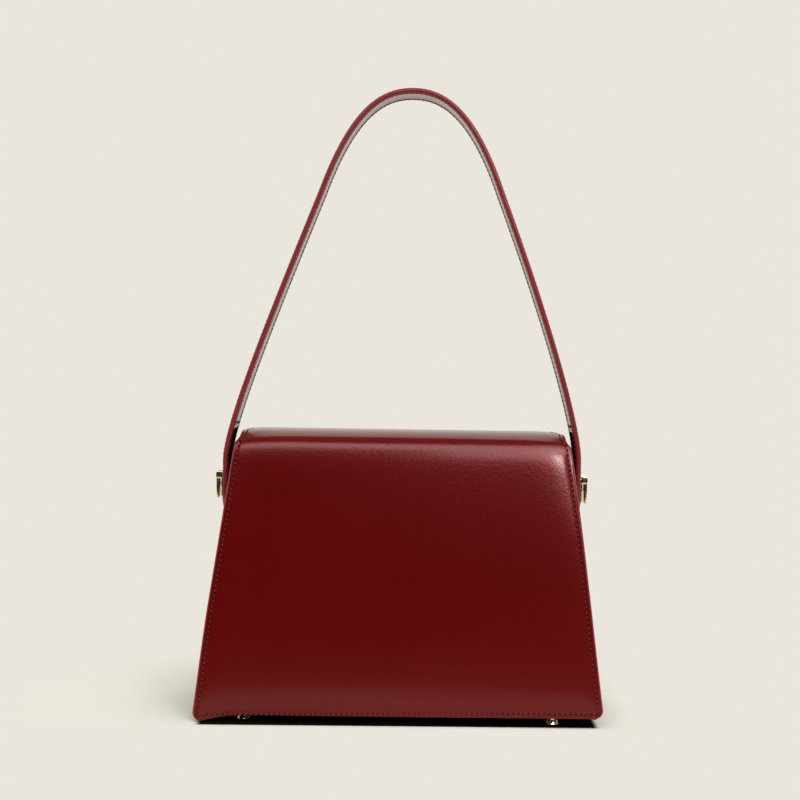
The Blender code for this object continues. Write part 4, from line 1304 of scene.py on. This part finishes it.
bm = bmesh.new()
for row in (-1, 1):
    for i in range(int(2 * CHAIN_HALF / TOOTH_PITCH)):
        centre = on_back(-CHAIN_HALF + (i + 0.5 + row * 0.25) * TOOTH_PITCH, row * TOOTH_OFF, TOOTH_STAND)
        turn = stretched(centre, (Vector((1, 0, 0)), INTO_BAG, UP_BACK), TOOTH_SIZE)
        bmesh.ops.create_cube(bm, size=1.0, matrix=turn)
break_edges(bm, bm.edges[:], TOOTH_EDGE, 1)
bmesh.ops.recalc_face_normals(bm, faces=bm.faces[:])
finish_piece(bm, "zip_teeth", [gold_plating], "body", "gold", ["zip_chain"])


# %% Sew the zip in
TAPE_SEAM, TAPE_ENDS = 6.2 * MM, 1.5 * MM


def tape_line(up):
    reach = ZIP_HALF - TAPE_ENDS
    return [(on_back(x, up, TAPE_STAND + THREAD_LIFT), INTO_BAG) for x in (-reach, reach)]


sew("zip_seam", [tape_line(-TAPE_SEAM), tape_line(TAPE_SEAM)], "body")


# %% [markdown]
# ## Small turned and cut metal
# The feet, rivets and spacers are turned: half of each section is drawn once and spun about its axis.
# The clasp's plate and leaf are stamped from sheet and bent, so each starts as its outline, is extruded
# to its width and has its edges broken with a small bevel.

# %% Helpers for metal
def turn_profile(profile, place, axis, steps=40):
    """A half section of (radius, height) spun about its axis, with height 0 at a place."""
    bm = bmesh.new()
    points = [bm.verts.new((radius, 0, height)) for radius, height in profile]
    edges = [bm.edges.new(pair) for pair in zip(points, points[1:])]
    bmesh.ops.spin(
        bm, geom=points + edges, cent=(0, 0, 0), axis=(0, 0, 1), angle=2 * pi, steps=steps, use_merge=True
    )
    bmesh.ops.remove_doubles(bm, verts=bm.verts[:], dist=0.01 * MM)
    turn = Vector(axis).to_track_quat("Z", "Y").to_matrix().to_4x4()
    bmesh.ops.transform(bm, matrix=Matrix.Translation(place) @ turn, verts=bm.verts[:])
    bmesh.ops.recalc_face_normals(bm, faces=bm.faces[:])
    return bm


def cut_out(bm, outline, run, chamfer):
    """A plate from its outline of places, extruded along run, with its edges broken."""
    start = bm.faces.new([bm.verts.new(place) for place in outline])
    grown = bmesh.ops.extrude_face_region(bm, geom=[start], use_keep_orig=True)
    moved = [item for item in grown["geom"] if isinstance(item, bmesh.types.BMVert)]
    bmesh.ops.translate(bm, vec=run, verts=moved)
    shell = {face for vert in [*moved, *start.verts] for face in vert.link_faces}
    bmesh.ops.recalc_face_normals(bm, faces=list(shell))
    bm.normal_update()
    cut = [e for e in bm.edges if shell.intersection(e.link_faces) and e.calc_face_angle(0) > radians(40)]
    break_edges(bm, cut, chamfer, 2)


def arc(centre_u, centre_v, radius, start, end, steps):
    """Points (u, v) on an arc, both ends included."""
    angles = [start + (end - start) * i / steps for i in range(steps + 1)]
    return [(centre_u + radius * cos(a), centre_v + radius * sin(a)) for a in angles]


def metal_piece(bm, name, body, node, finish=gold_plating, slot="gold"):
    finish_piece(bm, name, [finish], body, slot, [node], radians(35))


# %% The clasps' outlines
PLATE_IN, PLATE_OUT = 121.18 * MM, 122.38 * MM
PLATE_HALF = 7.0 * MM
PLATE_LOW_Z, PLATE_TOP_Z = 143.5 * MM, 162.5 * MM
PLATE_CORNER = 2.2 * MM
PIN_X, PIN_Z = 124.477 * MM, 160.1 * MM
KNUCKLE, BORE = 1.8 * MM, 0.95 * MM
EAR = 1.6 * MM
EAR_LOW_Z = 157.5 * MM
EAR_CORNER = 1.6 * MM
LEAF_HALF = 5.1 * MM
LEAF_TIP_Z = 144.0 * MM
LEAF_INNER = 2.4 * MM           # the blade's thickness under the curl
LEAF_TIP = 2.2 * MM


def plate_outline():
    """The plate seen from the side of the bag, as (y, z), with four round corners."""
    r = PLATE_CORNER
    y, low, top = PLATE_HALF - r, PLATE_LOW_Z + r, PLATE_TOP_Z - r
    return (
        arc(y, low, r, -pi / 2, 0, 6)
        + arc(y, top, r, 0, pi / 2, 6)
        + arc(-y, top, r, pi / 2, pi, 6)
        + arc(-y, low, r, pi, 3 * pi / 2, 6)
    )


def ear_outline():
    """One ear seen from the front, as (distance out from the middle of the bag, z)."""
    r = EAR_CORNER
    reach = PIN_X + KNUCKLE
    return (
        [(PLATE_OUT - 0.6 * MM, EAR_LOW_Z)]
        + arc(reach - r, EAR_LOW_Z + r, r, -pi / 2, 0, 6)
        + arc(reach - r, PLATE_TOP_Z - r, r, 0, pi / 2, 6)
        + [(PLATE_OUT - 0.6 * MM, PLATE_TOP_Z)]
    )


def leaf_outline():
    """The leaf seen from the front: sheet curled round the pin, then a blade that thins to its tip."""
    outer = arc(PIN_X, PIN_Z, KNUCKLE, 0, radians(262), 20)
    inner = arc(PIN_X, PIN_Z, BORE, radians(262), radians(-50), 18)
    reach = PIN_X + KNUCKLE
    return outer + inner + [
        (reach - LEAF_INNER, PIN_Z - 1.9 * MM),
        (reach - LEAF_TIP, LEAF_TIP_Z + 0.8 * MM),
        (reach - LEAF_TIP * 0.6, LEAF_TIP_Z),
        (reach, LEAF_TIP_Z),
    ]


print("points of plate, ear and leaf:", len(plate_outline()), len(ear_outline()), len(leaf_outline()))


# %% Build the clasps
CLASP_EDGE, LEAF_EDGE = 0.25 * MM, 0.4 * MM     # how much their edges are broken
PIN_HALF = PLATE_HALF - 0.02 * MM
PIN_SECTION = [(0, -PIN_HALF), (0.55 * MM, -PIN_HALF), (0.8 * MM, -PIN_HALF + 0.25 * MM)]
PIN_SECTION += [(radius, -height) for radius, height in PIN_SECTION[::-1]]

for side, word in SIDES:
    bm = bmesh.new()
    outline = [Vector((side * PLATE_IN, y, z)) for y, z in plate_outline()]
    cut_out(bm, outline, Vector((side * (PLATE_OUT - PLATE_IN), 0, 0)), CLASP_EDGE)
    for y in (-PLATE_HALF, PLATE_HALF - EAR):
        outline = [Vector((side * x, y, z)) for x, z in ear_outline()]
        cut_out(bm, outline, Vector((0, EAR, 0)), CLASP_EDGE)
    metal_piece(bm, "clasp_back_plate_" + word, "strap", "clasp_plate_" + word)

    bm = bmesh.new()
    outline = [Vector((side * x, -LEAF_HALF, z)) for x, z in leaf_outline()]
    cut_out(bm, outline, Vector((0, 2 * LEAF_HALF, 0)), LEAF_EDGE)
    metal_piece(bm, "clasp_hinged_leaf_" + word, "leaf_" + word, "clasp_leaf_" + word)

    bm = turn_profile(PIN_SECTION, (side * PIN_X, 0, PIN_Z), (0, 1, 0), 24)
    metal_piece(bm, "clasp_hinge_pin_" + word, "strap", "clasp_pin_" + word, nickel_plating, "steel")


# %% Build the rivets, caps and spacers
RIVET_BORE = 1.9 * MM
SPACER_IN, SPACER_RADIUS, SPACER_THICK = 115.48 * MM, 7 * MM, 1.8 * MM
CAP_IN, CAP_RADIUS, CAP_THICK = 107.83 * MM, 4 * MM, 1.6 * MM
RIVET_IN, HEAD_X = 107.53 * MM, 122.68 * MM
HEAD_RADIUS, HEAD_RISE = 3.0 * MM, 1.0 * MM
SHANK, SHANK_EDGE = 1.6 * MM, 0.2 * MM


def rounded_ring(inner, outer, thickness, r):
    """Half section of a flat ring with broken edges, from height 0 up."""
    return [
        (inner, r),
        (inner + r, 0),
        *arc(outer - r, r, r, -pi / 2, 0, 4),
        *arc(outer - r, thickness - r, r, 0, pi / 2, 4),
        (inner + r, thickness),
        (inner, thickness - r),
        (inner, r),
    ]


def rivet_section():
    """Half section of the rivet: a plain shank with a low domed head."""
    long = HEAD_X - RIVET_IN
    dome = [(HEAD_RADIUS * cos(a), long + HEAD_RISE * sin(a)) for a in spread(0, pi / 2, 8)]
    shank = [(0, 0), (SHANK - SHANK_EDGE, 0), (SHANK, SHANK_EDGE), (SHANK, long)]
    return shank + dome + [(0, long + HEAD_RISE)]


cap_section = rounded_ring(RIVET_BORE, CAP_RADIUS, CAP_THICK, 0.3 * MM)
spacer_section = rounded_ring(RIVET_BORE, SPACER_RADIUS, SPACER_THICK, 0.4 * MM)
for side, word in SIDES:
    for name, node, section, x, finish, slot in (
        ("strap_rivet_", "post_", rivet_section(), RIVET_IN, nickel_plating, "steel"),
        ("rivet_cap_", "post_nut_", cap_section, CAP_IN, nickel_plating, "steel"),
        ("leather_spacer_", "spacer_", spacer_section, SPACER_IN, lining_calf, "lining_leather"),
    ):
        bm = turn_profile(section, (side * x, 0, PIVOT_Z), (side, 0, 0))
        metal_piece(bm, name + word, "body", node + word, finish, slot)


# %% Build the feet
FOOT_X = 102.7 * MM
FOOT_ROWS = {"front": -31.18 * MM, "rear": 35.0 * MM}
FOOT_SHANK_MM = [(0, 7.3), (1.3, 7.3), (1.3, 5.0)]      # (radius, height) down the shank in the base
FOOT_CONE_MM = [(2.6, 5.0), (2.6, 3.4), (2.9, 3.0), (3.4, 1.7), (3.75, 0.75)]   # and down the cone
FOOT_RADIUS, FOOT_EDGE = 3.4 * MM, 0.45 * MM

foot_section = [(radius * MM, height * MM) for radius, height in FOOT_SHANK_MM + FOOT_CONE_MM]
foot_section += arc(FOOT_RADIUS, FOOT_EDGE, FOOT_EDGE, radians(30), -pi / 2, 8) + [(0, 0)]
for row, y in FOOT_ROWS.items():
    for side, word in SIDES:
        bm = turn_profile(foot_section, (side * FOOT_X, y, 0), (0, 0, 1))
        metal_piece(bm, "domed_foot_" + row + "_" + word, "body", "foot_" + row + "_" + word)


# %% Build the zip's slider
SLIDER_X = 64.5 * MM
SLIDER_LONG, SLIDER_WIDE = 9.0 * MM, 8.0 * MM
TEETH_TOP = 2.35 * MM           # stand of the slider's underside, just over the teeth
SLIDER_TOP = 4.1 * MM           # and of its top
SLIDER_EDGE = 0.3 * MM
BAIL = 0.6 * MM                 # radius of its wire
BAIL_STAND = 1.6 * MM           # from the slider's top to the middle of its bar
BAIL_ARM, BAIL_HALF, BAIL_EDGE = 3.4 * MM, 3.9 * MM, 0.15 * MM
BAIL_SUNK = 0.3 * MM            # its arms start this deep in the slider
AROUND = spread(0, 2 * pi, 12)


def slider_outline():
    """The slider seen from inside the bag, as (x, up): flared at the end that spreads the teeth."""
    half, wide = SLIDER_LONG / 2, SLIDER_WIDE / 2
    lower = [(-half, -wide * 0.72), (-half * 0.2, -wide * 0.72), (half * 0.45, -wide), (half, -wide * 0.8)]
    return [(SLIDER_X + x, up) for x, up in lower + [(x, -up) for x, up in lower[::-1]]]


bm = bmesh.new()
outline = [on_back(x, up, TEETH_TOP) for x, up in slider_outline()]
cut_out(bm, outline, INTO_BAG * (SLIDER_TOP - TEETH_TOP), SLIDER_EDGE)
bail_at = on_back(SLIDER_X, 0, SLIDER_TOP + BAIL_STAND)
for end in (-1, 1):
    foot = on_back(SLIDER_X + end * BAIL_ARM, 0, SLIDER_TOP - BAIL_SUNK)
    arm = [foot + UP_BACK * (BAIL * cos(a)) + Vector((BAIL * sin(a), 0, 0)) for a in AROUND]
    cut_out(bm, arm, INTO_BAG * (BAIL_STAND + BAIL_SUNK + BAIL), BAIL_EDGE)
bar_end = bail_at - Vector((BAIL_HALF, 0, 0))
bar = [bar_end + UP_BACK * (BAIL * cos(a)) + INTO_BAG * (BAIL * sin(a)) for a in AROUND]
cut_out(bm, bar, Vector((2 * BAIL_HALF, 0, 0)), BAIL_EDGE)
metal_piece(bm, "zip_saddle_slider", "zip_slider", "zip_slider")


# %% Build the zip's pull
PULL_HALF, PULL_LONG, PULL_THICK = 2.5 * MM, 22 * MM, 1.0 * MM
PULL_EYE, PULL_PLAY = 1.3 * MM, 0.15 * MM       # the eye's radius, and its play round the bail
PULL_CORNER, PULL_EDGE = 1.6 * MM, 0.25 * MM
NECK_HALF, NECK_DROP = PULL_HALF * 0.8, 0.9 * MM        # where the blade meets the eye
pull_at = Vector((SLIDER_X, bail_at.y, ZIP_Z))
eye = rounded_ring(BAIL + PULL_PLAY, PULL_EYE, 2 * PULL_HALF, 0.15 * MM)
bm = turn_profile(eye, pull_at - Vector((PULL_HALF, 0, 0)), (1, 0, 0))
low = pull_at.z - PULL_LONG + PULL_CORNER
blade = [(-NECK_HALF, pull_at.z - NECK_DROP)]
blade += arc(-PULL_HALF + PULL_CORNER, low, PULL_CORNER, pi, 3 * pi / 2, 6)
blade += arc(PULL_HALF - PULL_CORNER, low, PULL_CORNER, 3 * pi / 2, 2 * pi, 6)
blade.append((NECK_HALF, pull_at.z - NECK_DROP))
blade = [Vector((SLIDER_X + x, pull_at.y - PULL_THICK / 2, z)) for x, z in blade]
cut_out(bm, blade, Vector((0, PULL_THICK, 0)), PULL_EDGE)
metal_piece(bm, "zip_hanging_pull", "zip_pull", "zip_pull")


# %% [markdown]
# ## Hidden metal
# The magnets that hold the flap down and the washers over the feet's shanks are simple discs that the
# CAD already gives exactly. They keep their meshes and only take a better finish.

# %% Finish the CAD's own discs
hidden_metal = [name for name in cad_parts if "magnet" in name or "washer" in name]
for name in hidden_metal:
    for cad_slot in scene.objects[name].material_slots:
        cad_slot.material = nickel_plating
print("discs finished:", len(hidden_metal))


# %% [markdown]
# ## Studio
# The background is one flat warm white. The world shows it to the camera, and to the metal from behind
# the bag, while the ceiling and the space in front are dim, as a studio behind a camera is: that is
# what keeps the leather deep.

# %% World
BACKDROP = linear("#EAE6DD")
# Axis, the stretch of it where the room changes, and its brightness before and after: dim in front of
# the bag, and dimmer again towards the ceiling
ROOM = (("Y", -0.75, -0.2, 0.015, 1.0), ("Z", 0.58, 0.82, 1.0, 0.25))
world = bpy.data.worlds.new("studio")
scene.world = world
world.use_nodes = True
tree = world.node_tree
direction = add(tree, "SeparateXYZ", None, {0: add(tree, "TexCoord").outputs["Generated"]})
SMOOTH = {"interpolation_type": "SMOOTHSTEP"}
front, above = (
    add(
        tree,
        "MapRange",
        SMOOTH | {"From Min": start, "From Max": end, "To Min": low, "To Max": high},
        {"Value": direction.outputs[axis]},
    )
    for axis, start, end, low, high in ROOM
)
bright = add(
    tree, "Math", {"operation": "MULTIPLY"}, {0: front.outputs["Result"], 1: above.outputs["Result"]}
)
room = add(
    tree, "Mix", {"data_type": "RGBA", 6: (0.0, 0.0, 0.0, 1.0), 7: BACKDROP}, {0: bright.outputs["Value"]}
)
seen = add(
    tree,
    "Mix",
    {"data_type": "RGBA", 7: BACKDROP},
    {0: add(tree, "LightPath").outputs["Is Camera Ray"], 6: room.outputs[2]},
)
tree.links.new(seen.outputs[2], tree.nodes["Background"].inputs["Color"])
print("world nodes:", len(tree.nodes))


# %% [markdown]
# ## Floor
# The floor is a sheet of matt paper that keeps the bag's soft shadow. It could be curved up into the
# backdrop, but the photograph shows only a faint shadow on an even white, so to the camera the paper
# fades into the backdrop away from that shadow. No light gets under the bag, where only the feet hold
# it off the paper, so a painted shadow colours the paper nearly black there. Its front edge comes
# forward to the left, as the photograph shows.

# %% Floor paper
TOOTH_MM = 2                    # paper's tooth is finer, and is drawn coarser so that it shows
paper, tree, shader, place = new_material("matt_paper_floor", {"Roughness": 1.0, "Specular IOR Level": 0.0})
tooth = add(tree, "TexNoise", {"Scale": per(TOOTH_MM), "Detail": 2.0}, {"Vector": place})
sheet = add(
    tree, "Mix", {"data_type": "RGBA", 6: linear("#CAC8BF"), 7: linear("#CBC9C0")}, {0: tooth.outputs["Fac"]}
)
print("floor:", paper.name)


# %% Where the paper fades and where its shadow is painted dark
UNDER_X, UNDER_Y = 0.1325, 0.0445       # half the size of the painted shadow under the bag
UNDER_SKEW = 0.034
SHADOW_PLACE, SHADOW_HALF = (0.0, 0.02), (0.17, 0.12)   # the ellipse that the soft shadow keeps to
spot = add(tree, "SeparateXYZ", None, {0: place})
sideways = add(tree, "Math", {"operation": "ABSOLUTE"}, {0: spot.outputs["X"]})
skewed = add(tree, "VectorMath", {"operation": "DOT_PRODUCT", 1: (-UNDER_SKEW, 1.0, 0.0)}, {0: place})
ellipse = {
    "Scale": (1 / SHADOW_HALF[0], 1 / SHADOW_HALF[1], 0.0),
    "Location": (-SHADOW_PLACE[0] / SHADOW_HALF[0], -SHADOW_PLACE[1] / SHADOW_HALF[1], 0.0),
}
scaled = add(tree, "Mapping", ellipse, {"Vector": place})
away = add(tree, "VectorMath", {"operation": "LENGTH"}, {0: scaled.outputs["Vector"]})

# Each share of the floor is a smooth step of a place: its source, its start and end, and its values there
share = {"camera": add(tree, "LightPath").outputs["Is Camera Ray"]}
for name, source, start, end, low, high in (
    ("beyond_side", sideways.outputs["Value"], UNDER_X * 0.975, UNDER_X * 1.005, 0.0, 1.0),
    ("before_front", skewed.outputs["Value"], -UNDER_Y * 1.005, -UNDER_Y * 0.975, 1.0, 0.0),
    ("behind_back", spot.outputs["Y"], UNDER_Y * 0.94, UNDER_Y * 0.98, 0.0, 1.0),
    ("far", away.outputs["Value"], 0.9, 1.65, 0.0, 1.0),
    ("right", spot.outputs["X"], 0.137, 0.165, 0.0, 1.0),
    ("front", skewed.outputs["Value"], -0.050, -0.0445, 1.0, 0.0),
):
    step = SMOOTH | {"From Min": start, "From Max": end, "To Min": low, "To Max": high}
    share[name] = add(tree, "MapRange", step, {"Value": source}).outputs["Result"]
print("shares of the floor:", len(share))


# %% Put the floor's shares together
# The shares are put together: outside is all but the painted shadow under the bag, and clear is what the
# camera misses
for name, operation, first, second in (
    ("beyond", "MAXIMUM", "beyond_side", "before_front"),
    ("outside", "MAXIMUM", "beyond", "behind_back"),
    ("faint", "MAXIMUM", "far", "right"),
    ("faded", "MULTIPLY", "faint", "outside"),
    ("gone", "MAXIMUM", "faded", "front"),
    ("clear", "MULTIPLY", "gone", "camera"),
):
    sources = {0: share[first], 1: share[second]}
    share[name] = add(tree, "Math", {"operation": operation}, sources).outputs["Value"]
# A painted contact shadow: the paper under the bag is coloured nearly black, where it lies in shade
painted_contact_shadow = {"data_type": "RGBA", 6: linear("#140D09")}
ground = add(tree, "Mix", painted_contact_shadow, {0: share["outside"], 7: sheet.outputs[2]})
tree.links.new(ground.outputs[2], shader.inputs["Base Color"])
clear = add(tree, "BsdfTransparent").outputs[0]
mixed = add(tree, "MixShader", None, {0: share["clear"], 1: shader.outputs[0], 2: clear})
tree.links.new(mixed.outputs[0], tree.nodes["Material Output"].inputs["Surface"])
print("floor's nodes:", len(tree.nodes))


# %% Lay the floor
FLOOR_REACH = 3.0
FLOOR_FRONT_Y = -0.40           # the table ends here, in front of the bag
bm = bmesh.new()
bmesh.ops.create_grid(bm, x_segments=1, y_segments=1, size=FLOOR_REACH)
for vert in bm.verts:
    vert.co.y = max(vert.co.y, FLOOR_FRONT_Y)
floor = finish_piece(bm, "paper_floor", [paper])
floor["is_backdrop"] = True


# %% [markdown]
# ## Lamps
# A photographer's lamps are wide, so that shadows stay soft: two distant ones could be enough, but the
# leather's gloss shows the shape of what lights it. The key lamp at the front right throws the faint
# shadow to the left and back. The ceiling's fill lights the top and isn't seen in the gloss. The front
# softbox draws the long highlight on the roll, the side one the bright spot on the face, and the
# window's glow, which only the gloss shows, the soft sheen round that spot.

# %% Lamps
def hang(name, kind, settings, azimuth, elevation, reach, target):
    """A lamp aimed at a target. Angles are in degrees: azimuth 0 is the front, and more is to the right."""
    data = bpy.data.lights.new(name, kind)
    for key, value in settings.items():
        setattr(data, key, value)
    azimuth, elevation = radians(azimuth), radians(elevation)
    away = Vector((sin(azimuth) * cos(elevation), -cos(azimuth) * cos(elevation), sin(elevation)))
    lamp = bpy.data.objects.new(name, data)
    lamp.location = target + away * reach
    lamp.rotation_euler = (target - lamp.location).to_track_quat("-Z", "Y").to_euler()
    scene.collection.objects.link(lamp)
    return lamp


def distant(name, strength, width, azimuth, elevation):
    settings = {"energy": strength, "angle": radians(width)}
    return hang(name, "SUN", settings, azimuth, elevation, 3, Vector((0, 0, 0)))


def softbox(name, power, width, height, azimuth, elevation):
    settings = {"shape": "RECTANGLE", "size": width, "size_y": height, "energy": power}
    return hang(name, "AREA", settings, azimuth, elevation, 1.9, Vector((0, 0, 0.15)))


distant("key_lamp", 0.55, 30, 33, 38)
distant("ceiling_fill", 2.4, 60, 20, 78).visible_glossy = False
softbox("side_softbox", 3.8, 0.09, 0.24, 24, 18.2)
softbox("window_glow", 3.6, 0.7, 0.32, 13.5, 21.5).visible_diffuse = False
softbox("front_softbox", 16.0, 2.6, 0.42, 0, 33)
print("lamps:", len(bpy.data.lights))


# %% Finish
low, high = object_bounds()
print("visual box, mm:", [round(side / MM, 1) for side in high - low])
